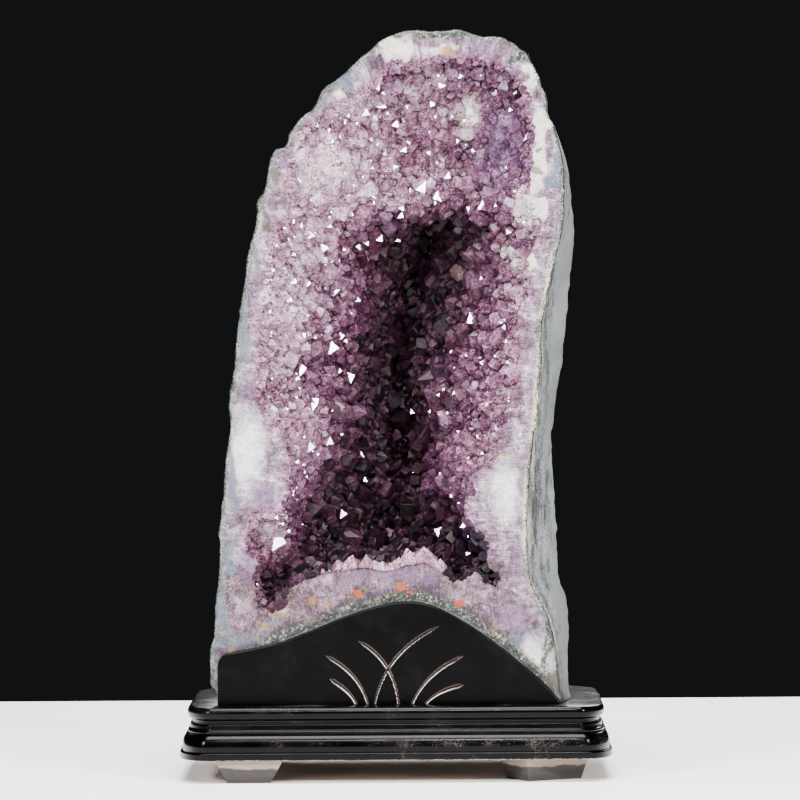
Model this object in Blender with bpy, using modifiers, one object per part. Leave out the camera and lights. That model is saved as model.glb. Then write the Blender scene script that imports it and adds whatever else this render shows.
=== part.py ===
# Amethyst cathedral geode standing on a moulded plinth, behind a carved board.
# Metres, +Z up. The origin is on the floor under the middle of the plinth, and the front faces -Y.
import math

import bmesh
import bpy
import numpy as np
from mathutils import Matrix, Vector, noise
from mathutils.bvhtree import BVHTree

# Gap left between pieces that touch.
GAP = 0.0003
# How far a cutter reaches past the face it cuts, and how near two points are taken as one.
CUT_MARGIN = 0.010
WELD = 0.00005

# Stand
PLINTH_HALF_WIDTH = 0.225
PLINTH_HALF_DEPTH = 0.153
PLINTH_BOTTOM = 0.0235
PLINTH_TOP = 0.078
CORNER_WIDTH = 0.028
CORNER_DEPTH = 0.060
CORNER_STEPS = 4
FOOT_DEPTH_TOP = 0.056
FOOT_DEPTH_BOTTOM = 0.044
BOARD_FRONT = -0.1100
BOARD_THICKNESS = 0.0190
BOARD_EDGE = 0.0012
BOARD_EDGE_ANGLE = 40.0
BOARD_STEPS = 34
GROOVE_DEPTH = 0.0028
# A blade's groove is narrow at its foot and tip: its least width, and how soon it widens.
BLADE_THIN = 0.45
BLADE_SHIFT = 0.15

# Stone: the flat cut face stands at STONE_FRONT and everything else lies behind it.
STONE_FRONT = -0.0905
STONE_DEPTH = 0.222
STONE_BOTTOM = PLINTH_TOP + GAP
STONE_CENTRE = (0.0, 0.370)
STONE_ROUNDNESS = 0.80
STONE_SEGMENTS = 64
STONE_RINGS = 22
# From here on towards the back, as parts of the depth, the outline loses its corners.
SOFTEN_FROM = 0.1
SOFTEN_TO = 0.7
# The stone's middle at the back, evened out a few times.
BACK_FROM = 0.80
BACK_PASSES = 6
BULGE_REACH = 0.060
BULGE_FROM = 0.02
BULGE_TO = 0.12
LUMP_HEIGHT = 0.007
LUMP_SCALE = 13.0
ARCH_DEPTH = 0.105
ARCH_STEPS = 30
# Points along a closed outline, and how many of them on each side soften it.
OUTLINE_STEPS = 720
SOFT_REACH = 60

# Hollow: the crust fills it from the stone wall to the tips of the crystals.
HOLLOW_CENTRE = (0.0, 0.430)
HOLLOW_SEGMENTS = 48
HOLLOW_RINGS = 16
CRUST_THICKNESS = 0.024
CRUST_EXTRA_AT_CLEFT = 0.35
# How soon behind the rim the crust has its full thickness.
CRUST_GROWTH = 3.0
CRUST_GAP = 0.0009
# The bowl is deep below the first height and shallow above the second.
BOWL_DEPTH = 0.098
BOWL_DEPTH_TOP = 0.070
BOWL_DEEP_BELOW = 0.52
BOWL_SHALLOW_ABOVE = 0.66
SIDE_SLOPE = 1.30
END_SLOPE = 0.75
CLEFT_DEPTH = 0.072
CLEFT_HALF_WIDTH = 0.036
CLEFT_WIDENING = 0.5
CLEFT_WIDE_BELOW = 0.25
CLEFT_NARROW_ABOVE = 0.40
CLEFT_TOP_FROM = 0.567
CLEFT_TOP_TO = 0.602
# How far from the rim, as a part of the depth, the cleft is at its deepest.
CLEFT_REACH = 0.6
SHELF_PLACE = (-0.076, 0.640)
SHELF_SIZE = (0.045, 0.050)
SHELF_RISE = 0.70
FRONT_COLLAR = 0.030
COLLAR_EDGE = 0.30
COLLAR_RING = math.sqrt(1.0 - COLLAR_EDGE ** 2)
# The front part of the collar that bears no crystals.
COLLAR_PLAIN = 0.6

# Crystals of the crust
CRYSTAL_SPACING = 0.0150
CRYSTAL_SPREAD = 0.45
# Height of the crystals against their width, from the lowest to the highest.
CRYSTAL_LOW = 0.7
CRYSTAL_HIGH = 1.2
CRYSTAL_LEAN = 0.10
SHORTENING = 0.4
SHORTENING_PASSES = 4
CRYSTAL_SEED = 11
CANDIDATES = 16000
# Half sizes of the ball on which neighbouring crystals are joined up.
CRYSTAL_GRID = (0.14, 0.12, 0.28)
# Crystals grow towards a line up the hollow: its x, its distance in front, its part of the height.
GROWTH_LINE_X = 0.01
GROWTH_LINE_FRONT = 0.03
GROWTH_LINE_LENGTH = 0.7

# Outlines seen from the front, as (x, z), clockwise from the lower left.
STONE_OUTLINE = [
    (-0.168, 0.040), (-0.191, 0.095), (-0.191, 0.140), (-0.184, 0.210), (-0.181, 0.270),
    (-0.171, 0.375), (-0.163, 0.465), (-0.152, 0.535), (-0.141, 0.600), (-0.126, 0.650),
    (-0.108, 0.672), (-0.080, 0.702), (-0.060, 0.726), (-0.034, 0.749), (-0.008, 0.770),
    (0.020, 0.779), (0.070, 0.781), (0.105, 0.772), (0.140, 0.755), (0.155, 0.725),
    (0.163, 0.690), (0.177, 0.645), (0.178, 0.590), (0.168, 0.535), (0.155, 0.465),
    (0.151, 0.380), (0.140, 0.300), (0.138, 0.240), (0.146, 0.192), (0.164, 0.145),
    (0.171, 0.095), (0.150, 0.040), (0.000, 0.018),
]
HOLLOW_OUTLINE = [
    (-0.176, 0.152), (-0.173, 0.210), (-0.169, 0.270), (-0.159, 0.375), (-0.151, 0.465),
    (-0.141, 0.535), (-0.130, 0.597), (-0.117, 0.640), (-0.099, 0.664), (-0.071, 0.693),
    (-0.052, 0.717), (-0.026, 0.739), (-0.002, 0.758), (0.024, 0.767), (0.068, 0.769),
    (0.101, 0.760), (0.130, 0.746), (0.144, 0.722), (0.152, 0.690), (0.165, 0.642),
    (0.166, 0.592), (0.157, 0.537), (0.144, 0.466), (0.140, 0.381), (0.129, 0.300),
    (0.127, 0.240), (0.135, 0.190), (0.151, 0.145), (0.155, 0.116), (0.134, 0.134),
    (0.102, 0.162), (0.070, 0.184), (0.040, 0.198), (0.010, 0.201), (-0.022, 0.196),
    (-0.055, 0.185), (-0.088, 0.171), (-0.120, 0.158), (-0.152, 0.147),
]
CRYSTAL_OUTLINE = [
    (-0.146, 0.190), (-0.150, 0.230), (-0.151, 0.262), (-0.139, 0.283), (-0.121, 0.308),
    (-0.114, 0.342), (-0.128, 0.378), (-0.140, 0.405), (-0.137, 0.450), (-0.134, 0.500),
    (-0.126, 0.550), (-0.110, 0.590), (-0.110, 0.620), (-0.106, 0.645), (-0.093, 0.668),
    (-0.068, 0.689), (-0.040, 0.705), (-0.017, 0.726), (0.006, 0.748), (0.040, 0.747),
    (0.085, 0.748), (0.117, 0.738),
    (0.137, 0.710), (0.143, 0.670), (0.140, 0.612), (0.151, 0.580), (0.139, 0.540),
    (0.136, 0.500), (0.130, 0.460), (0.124, 0.410), (0.108, 0.355), (0.081, 0.317),
    (0.074, 0.288), (0.092, 0.247), (0.101, 0.212), (0.088, 0.213), (0.055, 0.214),
    (0.036, 0.236), (0.006, 0.234), (-0.015, 0.222), (-0.055, 0.230), (-0.085, 0.213),
    (-0.116, 0.190), (-0.131, 0.175),
]
# The stone grows wider behind its right arris: how far, at each height.
BULGE_HEIGHTS = [0.08, 0.13, 0.19, 0.26, 0.38, 0.47, 0.60, 0.70]
BULGE_WIDTHS = [0.012, 0.018, 0.031, 0.035, 0.022, 0.029, 0.012, 0.003]
# The middle line of the deep cleft in the crystals, as x at each height.
CLEFT_HEIGHTS = [0.24, 0.34, 0.40, 0.47, 0.54, 0.60]
CLEFT_PLACES = [0.004, 0.016, 0.008, 0.010, 0.030, 0.062]

# Top edge of the board, from left to right, as (x, z).
BOARD_OUTLINE = [
    (-0.185, 0.118), (-0.182, 0.127), (-0.174, 0.1315), (-0.146, 0.137), (-0.117, 0.144),
    (-0.085, 0.156), (-0.053, 0.169), (-0.022, 0.179), (0.008, 0.1845), (0.036, 0.181),
    (0.067, 0.166), (0.100, 0.144), (0.133, 0.118), (0.157, 0.096), (0.1725, PLINTH_TOP + GAP),
]
# The arch under the stone follows the board's top edge, a little lower, and leaves two legs.
ARCH_OUTLINE = [
    (-0.146, 0.060), (-0.142, 0.118), (-0.117, 0.137), (-0.085, 0.150), (-0.053, 0.163),
    (-0.022, 0.173), (0.010, 0.178), (0.039, 0.174), (0.067, 0.160), (0.100, 0.137),
    (0.128, 0.113), (0.144, 0.090), (0.150, 0.060),
]
# Carved blades of grass: foot, point that the blade bends past, and tip, as (x, z).
BLADES = [
    ((-0.041, 0.0825), (-0.047, 0.093), (-0.068, 0.105)),
    ((-0.029, 0.0825), (-0.038, 0.112), (-0.072, 0.129)),
    ((-0.022, 0.0825), (-0.010, 0.134), (0.045, 0.159)),
    ((0.003, 0.0825), (-0.002, 0.125), (-0.038, 0.144)),
    ((0.017, 0.0825), (0.032, 0.112), (0.070, 0.128)),
    ((0.031, 0.0825), (0.045, 0.094), (0.070, 0.098)),
]
BLADE_POINTS = 7

# Plinth moulding from the bottom up: how far it stands in from the widest line, and its height.
MOULDING = [
    (0.0008, 0.0235), (0.0000, 0.0248), (0.0000, 0.0312), (0.0028, 0.0320), (0.0026, 0.0385),
    (0.0040, 0.0450), (0.0072, 0.0492), (0.0092, 0.0500), (0.0082, 0.0512), (0.0084, 0.0536),
    (0.0104, 0.0548), (0.0108, 0.0600), (0.0130, 0.0606), (0.0130, 0.0642), (0.0106, 0.0650),
    (0.0086, 0.0680), (0.0080, 0.0722), (0.0096, 0.0760), (0.0128, 0.0780),
]

# Feet: name, place of the middle, width at the top and at the bottom, turn about Z in degrees.
FEET = [
    ("foot_front_left", (-0.152, -0.118), 0.070, 0.045, 0.0),
    ("foot_front_right", (0.154, -0.104), 0.074, 0.064, 30.0),
    ("foot_back_left", (-0.152, 0.118), 0.070, 0.045, 180.0),
    ("foot_back_right", (0.152, 0.118), 0.070, 0.045, 180.0),
]


def clear_scene():
    for old in list(bpy.data.objects):
        bpy.data.objects.remove(old, do_unlink=True)


def make_collection(name):
    collection = bpy.data.collections.new(name)
    bpy.context.scene.collection.children.link(collection)
    return collection


def make_material(name, colour, roughness, metallic=0.0):
    material = bpy.data.materials.new(name)
    material.use_nodes = True
    shader = material.node_tree.nodes["Principled BSDF"]
    shader.inputs["Base Color"].default_value = (*colour, 1.0)
    shader.inputs["Roughness"].default_value = roughness
    shader.inputs["Metallic"].default_value = metallic
    return material


def add_object(name, mesh, collection, material=None):
    obj = bpy.data.objects.new(name, mesh)
    collection.objects.link(obj)
    if material:
        mesh.materials.clear()
        mesh.materials.append(material)
    return obj


def mesh_from(bm, name):
    bmesh.ops.recalc_face_normals(bm, faces=bm.faces)
    mesh = bpy.data.meshes.new(name)
    bm.to_mesh(mesh)
    bm.free()
    return mesh


def smooth_run(points, steps, closed):
    """Points evenly spaced along a smooth curve through the given ones."""
    points = np.array(points, dtype=float)
    if closed:
        padded = np.vstack([points[-1:], points, points[:2]])
    else:
        padded = np.vstack([2 * points[0] - points[1], points, 2 * points[-1] - points[-2]])
    fine = []
    for before, start, end, after in zip(padded, padded[1:], padded[2:], padded[3:]):
        for t in np.arange(0.0, 1.0, 0.1):
            bend = (2 * before - 5 * start + 4 * end - after) * t * t
            twist = (3 * start - before - 3 * end + after) * t ** 3
            fine.append(0.5 * (2 * start + (end - before) * t + bend + twist))
    fine.append(points[0] if closed else points[-1])
    fine = np.array(fine)
    length = np.concatenate([[0.0], np.cumsum(np.linalg.norm(np.diff(fine, axis=0), axis=1))])
    wanted = np.linspace(0.0, length[-1], steps + 1)
    run = np.column_stack([np.interp(wanted, length, fine[:, axis]) for axis in (0, 1)])
    return run[:-1] if closed else run


class Outline:
    """A closed outline around a centre, read by the turn from 0 to 1, counterclockwise."""

    def __init__(self, points, centre):
        self.centre = np.array(centre)
        run = smooth_run(points[::-1], OUTLINE_STEPS, closed=True)
        above = np.abs(run[:, 1] - centre[1])
        above[run[:, 0] < centre[0]] = np.inf
        run = np.roll(run, -int(np.argmin(above)), axis=0)
        shifts = range(-SOFT_REACH, SOFT_REACH + 1)
        soft = sum(np.roll(run, shift, axis=0) for shift in shifts) / len(shifts)
        self.run = np.vstack([run, run[:1]])
        self.soft = np.vstack([soft, soft[:1]])
        self.turns = np.linspace(0.0, 1.0, OUTLINE_STEPS + 1)

    def at(self, turn, scale, softness=0.0):
        """A place between the centre (scale 0) and the edge (scale 1), which softness rounds off."""
        run = self.run + (self.soft - self.run) * softness
        edge = np.array([np.interp(turn % 1.0, self.turns, run[:, axis]) for axis in (0, 1)])
        return self.centre + (edge - self.centre) * scale


def turn_of(x, z):
    return (math.atan2(z, x) / (2.0 * math.pi)) % 1.0


def ramp(value, low, high):
    """0 below low, 1 above high, and smooth between them."""
    t = min(max((value - low) / (high - low), 0.0), 1.0)
    return t * t * (3.0 - 2.0 * t)


def ball(segments, rings):
    """A UV sphere of radius 1 whose poles lie on the Y axis."""
    bm = bmesh.new()
    bmesh.ops.create_uvsphere(bm, u_segments=segments, v_segments=rings, radius=1.0,
                              matrix=Matrix.Rotation(math.radians(90.0), 4, "X"))
    return bm


def cut_front(bm, y):
    """Cuts a closed form flat at the given y and closes it with one face."""
    geometry = bm.verts[:] + bm.edges[:] + bm.faces[:]
    cut = bmesh.ops.bisect_plane(bm, geom=geometry, dist=1e-7, plane_co=(0.0, y, 0.0),
                                 plane_no=(0.0, -1.0, 0.0), clear_outer=True)
    close_cut(bm, cut)


def cut_bottom(bm, z):
    geometry = bm.verts[:] + bm.edges[:] + bm.faces[:]
    cut = bmesh.ops.bisect_plane(bm, geom=geometry, dist=1e-7, plane_co=(0.0, 0.0, z),
                                 plane_no=(0.0, 0.0, -1.0), clear_outer=True)
    close_cut(bm, cut)


def close_cut(bm, cut):
    edges = [item for item in cut["geom_cut"] if isinstance(item, bmesh.types.BMEdge)]
    bmesh.ops.contextual_create(bm, geom=edges)


def subtract(target, cutter, cutters):
    """Takes the cutter out of the target, and keeps the cutter as a guide."""
    modifier = target.modifiers.new(cutter.name, "BOOLEAN")
    modifier.operation = "DIFFERENCE"
    modifier.solver = "EXACT"
    modifier.object = cutter
    cutter.hide_render = True
    cutter.display_type = "WIRE"
    if cutter.name not in cutters.objects:
        cutters.objects.link(cutter)


def stone_body():
    """The whole stone before it is hollowed: a tall dome with a flat face and a flat foot."""
    outline = Outline(STONE_OUTLINE, STONE_CENTRE)
    bm = ball(STONE_SEGMENTS, STONE_RINGS)
    back = [vert for vert in bm.verts if vert.co.y > BACK_FROM]
    middle = Vector((STONE_CENTRE[0], STONE_FRONT, STONE_CENTRE[1]))
    for vert in bm.verts:
        across, along, up = vert.co
        ring = math.hypot(across, up)
        reach = abs(along) ** STONE_ROUNDNESS
        softness = ramp(along, SOFTEN_FROM, SOFTEN_TO)
        x, z = outline.at(turn_of(across, up), ring ** STONE_ROUNDNESS, softness)
        if along <= 0.0:
            vert.co = (x, STONE_FRONT - reach * FRONT_COLLAR, z)
            continue
        y = STONE_FRONT + reach * STONE_DEPTH
        behind = ramp(y, STONE_FRONT, STONE_FRONT + BULGE_REACH)
        side = ramp(x, BULGE_FROM, BULGE_TO) * ring ** 2
        x += behind * side * float(np.interp(z, BULGE_HEIGHTS, BULGE_WIDTHS))
        place = Vector((x, y, z))
        lump = LUMP_HEIGHT * behind * noise.noise(place * LUMP_SCALE)
        vert.co = place + (place - middle).normalized() * lump
    for _ in range(BACK_PASSES):
        bmesh.ops.smooth_vert(bm, verts=back, factor=0.5, use_axis_x=True, use_axis_y=True,
                              use_axis_z=True)
    cut_front(bm, STONE_FRONT)
    cut_bottom(bm, STONE_BOTTOM)
    return mesh_from(bm, "geode_shell")


def cleft(x, z):
    """How much deeper the crystals lie along the cleft, from 0 to 1."""
    middle = float(np.interp(z, CLEFT_HEIGHTS, CLEFT_PLACES))
    narrowing = ramp(z, CLEFT_WIDE_BELOW, CLEFT_NARROW_ABOVE)
    half_width = CLEFT_HALF_WIDTH * (1.0 + CLEFT_WIDENING * (1.0 - narrowing))
    across = math.exp(-((x - middle) / half_width) ** 2)
    return across * (1.0 - ramp(z, CLEFT_TOP_FROM, CLEFT_TOP_TO))


def shelf(x, z):
    """1 in the middle of the shallow milky patch at the upper left, 0 away from it."""
    beside = (x - SHELF_PLACE[0]) / SHELF_SIZE[0]
    above = (z - SHELF_PLACE[1]) / SHELF_SIZE[1]
    return math.exp(-beside ** 2 - above ** 2)


def hollow_point(outline, direction, thickness=0.0):
    """A place on the hollow's wall, for a direction on the unit sphere."""
    across, along, up = direction
    ring = math.hypot(across, up)
    turn = turn_of(across, up)
    if along <= 0.0:
        x, z = outline.at(turn, min(1.0, ring / COLLAR_RING))
        return Vector((x, STONE_FRONT - FRONT_COLLAR * min(1.0, -along / COLLAR_EDGE), z))
    slope = SIDE_SLOPE + (END_SLOPE - SIDE_SLOPE) * (up / ring if ring else 0.0) ** 2
    x, z = outline.at(turn, ring ** slope)
    reach = along ** slope
    shallow = ramp(z, BOWL_DEEP_BELOW, BOWL_SHALLOW_ABOVE)
    bowl = reach * (BOWL_DEPTH + (BOWL_DEPTH_TOP - BOWL_DEPTH) * shallow)
    in_cleft = cleft(x, z)
    depth = bowl * (1.0 - SHELF_RISE * shelf(x, z))
    depth += ramp(along, 0.0, CLEFT_REACH) * CLEFT_DEPTH * in_cleft
    depth += min(1.0, CRUST_GROWTH * reach) * thickness * (1.0 + CRUST_EXTRA_AT_CLEFT * in_cleft)
    return Vector((x, STONE_FRONT + depth, z))


def hollow_form(name):
    """The space inside the stone wall, as a solid. A collar carries it out through the front."""
    outline = Outline(HOLLOW_OUTLINE, HOLLOW_CENTRE)
    bm = ball(HOLLOW_SEGMENTS, HOLLOW_RINGS)
    for vert in bm.verts:
        vert.co = hollow_point(outline, vert.co.copy(), CRUST_THICKNESS)
    bmesh.ops.triangulate(bm, faces=bm.faces)
    return mesh_from(bm, name)


def crust_form(hollow):
    """The hollow's own form drawn in by the gap and cut flush with the stone's face."""
    bm = bmesh.new()
    bm.from_mesh(hollow)
    bm.normal_update()
    for vert in bm.verts:
        vert.co -= vert.normal * CRUST_GAP
    cut_front(bm, STONE_FRONT)
    return mesh_from(bm, "amethyst_crust")


def crystal_sites(outline):
    """Directions of the crystals, chosen so that they stand evenly on the wall."""
    rng = np.random.default_rng(CRYSTAL_SEED)
    order = np.arange(CANDIDATES) + 0.5
    along = 1.0 - 2.0 * order / CANDIDATES
    turn = math.pi * (1.0 + math.sqrt(5.0)) * order
    ring = np.sqrt(1.0 - along ** 2)
    directions = np.column_stack([ring * np.cos(turn), along, ring * np.sin(turn)])
    directions = directions[along > -COLLAR_EDGE]
    rng.shuffle(directions)
    chosen = []
    places = np.empty((0, 3))
    spacings = CRYSTAL_SPACING * (1.0 + CRYSTAL_SPREAD * (rng.random(len(directions)) ** 2 - 0.25))
    for direction, spacing in zip(directions, spacings):
        place = np.array(hollow_point(outline, direction))
        if len(places) and np.min(np.linalg.norm(places - place, axis=1)) < spacing:
            continue
        places = np.vstack([places, place])
        chosen.append(direction)
    chosen.append(np.array([0.0, -1.0, 0.0]))
    return chosen


def inward(place):
    """The way a crystal grows from its place on the wall: towards the hollow's middle line."""
    height = HOLLOW_CENTRE[1] + GROWTH_LINE_LENGTH * (place.z - HOLLOW_CENTRE[1])
    return (Vector((GROWTH_LINE_X, STONE_FRONT - GROWTH_LINE_FRONT, height)) - place).normalized()


def shorten_crossing(bm, feet):
    """Makes crystals that run into one another shorter, until none do."""
    for _ in range(SHORTENING_PASSES):
        bm.faces.ensure_lookup_table()
        tree = BVHTree.FromBMesh(bm)
        crossing = set()
        for first, second in tree.overlap(tree):
            one, other = bm.faces[first], bm.faces[second]
            if not set(one.verts) & set(other.verts):
                crossing.update(vert for vert in (*one.verts, *other.verts) if vert in feet)
        for vert in crossing:
            vert.co = vert.co.lerp(feet[vert], SHORTENING)


def crystal_form():
    """The open space inside the crystals, as a solid: every crystal is a dent in it."""
    outline = Outline(CRYSTAL_OUTLINE, HOLLOW_CENTRE)
    rng = np.random.default_rng(CRYSTAL_SEED + 1)
    bm = bmesh.new()
    for direction in crystal_sites(outline):
        bm.verts.new([part * size for part, size in zip(direction, CRYSTAL_GRID)])
    bmesh.ops.convex_hull(bm, input=bm.verts)
    sites = list(bm.verts)
    ridges = list(bm.edges)
    bmesh.ops.poke(bm, faces=bm.faces)
    bmesh.ops.rotate_edges(bm, edges=ridges)
    for vert in bm.verts:
        direction = Vector([part / size for part, size in zip(vert.co, CRYSTAL_GRID)]).normalized()
        vert.co = hollow_point(outline, direction)
    moves = []
    for vert in sites:
        lean = Vector(rng.normal(0.0, CRYSTAL_LEAN, 3))
        height = rng.uniform(CRYSTAL_LOW, CRYSTAL_HIGH)
        if vert.co.y > STONE_FRONT - FRONT_COLLAR * COLLAR_PLAIN:
            span = sum(edge.calc_length() for edge in vert.link_edges) / len(vert.link_edges)
            moves.append((vert, (inward(vert.co) + lean) * height * span))
    feet = {vert: vert.co.copy() for vert, move in moves}
    for vert, move in moves:
        vert.co += move
    shorten_crossing(bm, feet)
    return mesh_from(bm, "crystal_space")


def make_stone(parts, cutters, materials):
    stone = add_object("geode_shell", stone_body(), parts, materials["stone"])
    hollow = add_object("hollow_space", hollow_form("hollow_space"), cutters)
    subtract(stone, hollow, cutters)
    arch = flat_solid("arch_space", smooth_run(ARCH_OUTLINE, ARCH_STEPS, closed=False),
                      STONE_FRONT - CUT_MARGIN, STONE_FRONT + ARCH_DEPTH, cutters)
    subtract(stone, arch, cutters)
    crust = add_object("amethyst_crust", crust_form(hollow.data), parts, materials["crystal"])
    space = add_object("crystal_space", crystal_form(), cutters)
    subtract(crust, space, cutters)


def flat_solid(name, outline, front, back, collection):
    """A flat outline in the XZ plane, extruded from front to back as a mesh object."""
    curve = bpy.data.curves.new(name, "CURVE")
    curve.dimensions = "2D"
    curve.fill_mode = "BOTH"
    curve.extrude = (back - front) / 2.0
    spline = curve.splines.new("POLY")
    spline.points.add(len(outline) - 1)
    for point, (x, z) in zip(spline.points, outline):
        point.co = (x, z, 0.0, 1.0)
    spline.use_cyclic_u = True
    shape = bpy.data.objects.new(name + "_outline", curve)
    collection.objects.link(shape)
    shape.location = (0.0, (front + back) / 2.0, 0.0)
    shape.rotation_euler = (math.radians(90.0), 0.0, 0.0)
    return mesh_object(shape, name, collection)


def mesh_object(shape, name, collection):
    """Turns a curve object into a welded mesh object in the same place."""
    bpy.context.view_layer.update()
    evaluated = shape.evaluated_get(bpy.context.evaluated_depsgraph_get())
    mesh = bpy.data.meshes.new_from_object(evaluated)
    matrix = shape.matrix_world.copy()
    bpy.data.objects.remove(shape, do_unlink=True)
    bm = bmesh.new()
    bm.from_mesh(mesh)
    bmesh.ops.remove_doubles(bm, verts=bm.verts, dist=WELD)
    bmesh.ops.recalc_face_normals(bm, faces=bm.faces)
    bm.to_mesh(mesh)
    bm.free()
    mesh.name = name
    obj = bpy.data.objects.new(name, mesh)
    collection.objects.link(obj)
    obj.matrix_world = matrix
    return obj


def blade_cutter(number, blade, collection):
    """A tapered rod along one blade of grass, half sunk in the board's face."""
    foot, bend, tip = (Vector(point) for point in blade)
    curve = bpy.data.curves.new("blade", "CURVE")
    curve.dimensions = "3D"
    curve.fill_mode = "FULL"
    curve.bevel_depth = GROOVE_DEPTH
    curve.bevel_resolution = 0
    curve.use_fill_caps = True
    spline = curve.splines.new("POLY")
    spline.points.add(BLADE_POINTS - 1)
    for step, point in enumerate(spline.points):
        t = step / (BLADE_POINTS - 1)
        place = foot * (1 - t) ** 2 + bend * 2 * t * (1 - t) + tip * t * t
        point.co = (place.x, BOARD_FRONT - GAP * (1.0 + 0.3 * number), place.y, 1.0)
        widening = math.sin(math.pi * min(t + BLADE_SHIFT, 1.0))
        point.radius = BLADE_THIN + (1.0 - BLADE_THIN) * widening
    shape = bpy.data.objects.new("blade", curve)
    collection.objects.link(shape)
    return mesh_object(shape, "blade_%d" % number, collection)


def make_board(parts, cutters, materials):
    top = list(smooth_run(BOARD_OUTLINE, BOARD_STEPS, closed=False))
    outline = [(BOARD_OUTLINE[0][0], PLINTH_TOP + GAP)] + top
    board = flat_solid("front_board", outline, BOARD_FRONT, BOARD_FRONT + BOARD_THICKNESS, parts)
    board.data.materials.append(materials["lacquer"])
    edge = board.modifiers.new("edge", "BEVEL")
    edge.width = BOARD_EDGE
    edge.segments = 1
    edge.angle_limit = math.radians(BOARD_EDGE_ANGLE)
    for number, blade in enumerate(BLADES):
        subtract(board, blade_cutter(number + 1, blade, cutters), cutters)


def rounded_rectangle(half_width, half_depth):
    """A rectangle around the origin whose corners are quarter ellipses."""
    ring = []
    for side_x, side_y, start in ((1, 1, 0), (-1, 1, 90), (-1, -1, 180), (1, -1, 270)):
        for step in range(CORNER_STEPS + 1):
            angle = math.radians(start + 90.0 * step / CORNER_STEPS)
            x = side_x * (half_width - CORNER_WIDTH) + CORNER_WIDTH * math.cos(angle)
            y = side_y * (half_depth - CORNER_DEPTH) + CORNER_DEPTH * math.sin(angle)
            ring.append((x, y))
    return ring


def make_plinth(parts, materials):
    """The plan drawn at the bottom, then raised level by level along the moulding."""
    bm = bmesh.new()
    bottom = [bm.verts.new((x, y, PLINTH_BOTTOM)) for x, y in rounded_rectangle(
        PLINTH_HALF_WIDTH - MOULDING[0][0], PLINTH_HALF_DEPTH - MOULDING[0][0])]
    face = bm.faces.new(bottom)
    for (inset, height), (next_inset, next_height) in zip(MOULDING, MOULDING[1:]):
        raised = bmesh.ops.extrude_face_region(bm, geom=[face])["geom"]
        if height > PLINTH_BOTTOM:
            bmesh.ops.delete(bm, geom=[face], context="FACES_ONLY")
        face = next(item for item in raised if isinstance(item, bmesh.types.BMFace))
        narrower = ((PLINTH_HALF_WIDTH - next_inset) / (PLINTH_HALF_WIDTH - inset),
                    (PLINTH_HALF_DEPTH - next_inset) / (PLINTH_HALF_DEPTH - inset), 1.0)
        bmesh.ops.scale(bm, vec=narrower, verts=face.verts)
        bmesh.ops.translate(bm, vec=(0.0, 0.0, next_height - height), verts=face.verts)
    add_object("plinth", mesh_from(bm, "plinth"), parts, materials["lacquer"])


def make_foot(name, place, top_width, bottom_width, turn, parts, materials):
    height = PLINTH_BOTTOM - GAP
    bm = bmesh.new()
    bmesh.ops.create_cube(bm, size=1.0)
    for vert in bm.verts:
        top = vert.co.z > 0.0
        vert.co.x *= top_width if top else bottom_width
        vert.co.y *= FOOT_DEPTH_TOP if top else FOOT_DEPTH_BOTTOM
        vert.co.z = height if top else 0.0
    foot = add_object(name, mesh_from(bm, name), parts, materials["wood"])
    foot.location = (place[0], place[1], 0.0)
    foot.rotation_euler = (0.0, 0.0, math.radians(turn))


def main():
    clear_scene()
    parts = make_collection("amethyst_cathedral_geode")
    cutters = make_collection("cutters")
    materials = {
        "stone": make_material("stone", (0.34, 0.35, 0.36), 0.75),
        "crystal": make_material("crystal", (0.30, 0.14, 0.38), 0.18),
        "lacquer": make_material("lacquer", (0.012, 0.011, 0.012), 0.22),
        "wood": make_material("wood", (0.42, 0.34, 0.28), 0.80),
    }
    make_stone(parts, cutters, materials)
    make_board(parts, cutters, materials)
    make_plinth(parts, materials)
    for foot in FEET:
        make_foot(*foot, parts, materials)


main()
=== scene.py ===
# Amethyst cathedral geode on its lacquered stand, dressed for the photograph's view.
# Metres, Z up. The cut face of the geode looks along -Y, towards the camera. Places "in the view" are
# counted in an 800 by 800 view through that camera.
import math
import bmesh
import bpy
import numpy as np
from mathutils import Euler, Matrix, Vector, kdtree, noise
from mathutils.bvhtree import BVHTree


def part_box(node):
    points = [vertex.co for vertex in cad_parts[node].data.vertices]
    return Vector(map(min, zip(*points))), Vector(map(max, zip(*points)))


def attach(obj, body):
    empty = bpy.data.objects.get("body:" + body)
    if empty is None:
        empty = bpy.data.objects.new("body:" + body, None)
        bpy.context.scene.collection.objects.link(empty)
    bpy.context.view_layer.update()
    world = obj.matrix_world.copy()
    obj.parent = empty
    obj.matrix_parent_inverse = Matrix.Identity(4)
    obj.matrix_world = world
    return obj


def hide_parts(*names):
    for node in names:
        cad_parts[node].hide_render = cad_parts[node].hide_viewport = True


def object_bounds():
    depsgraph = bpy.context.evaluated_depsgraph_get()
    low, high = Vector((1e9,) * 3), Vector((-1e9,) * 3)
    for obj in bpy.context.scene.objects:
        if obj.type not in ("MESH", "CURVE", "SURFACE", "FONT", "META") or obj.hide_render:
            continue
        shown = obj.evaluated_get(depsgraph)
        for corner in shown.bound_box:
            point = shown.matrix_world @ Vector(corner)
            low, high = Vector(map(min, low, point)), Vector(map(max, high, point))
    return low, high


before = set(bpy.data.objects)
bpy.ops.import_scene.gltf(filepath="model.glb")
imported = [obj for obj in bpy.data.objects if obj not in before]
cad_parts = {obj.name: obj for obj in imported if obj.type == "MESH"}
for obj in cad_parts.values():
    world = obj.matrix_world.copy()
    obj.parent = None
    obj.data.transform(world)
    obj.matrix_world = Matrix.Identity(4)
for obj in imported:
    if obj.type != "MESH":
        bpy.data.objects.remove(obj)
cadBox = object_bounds()
print("frame loaded:", ", ".join(sorted(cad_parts)))

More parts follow.
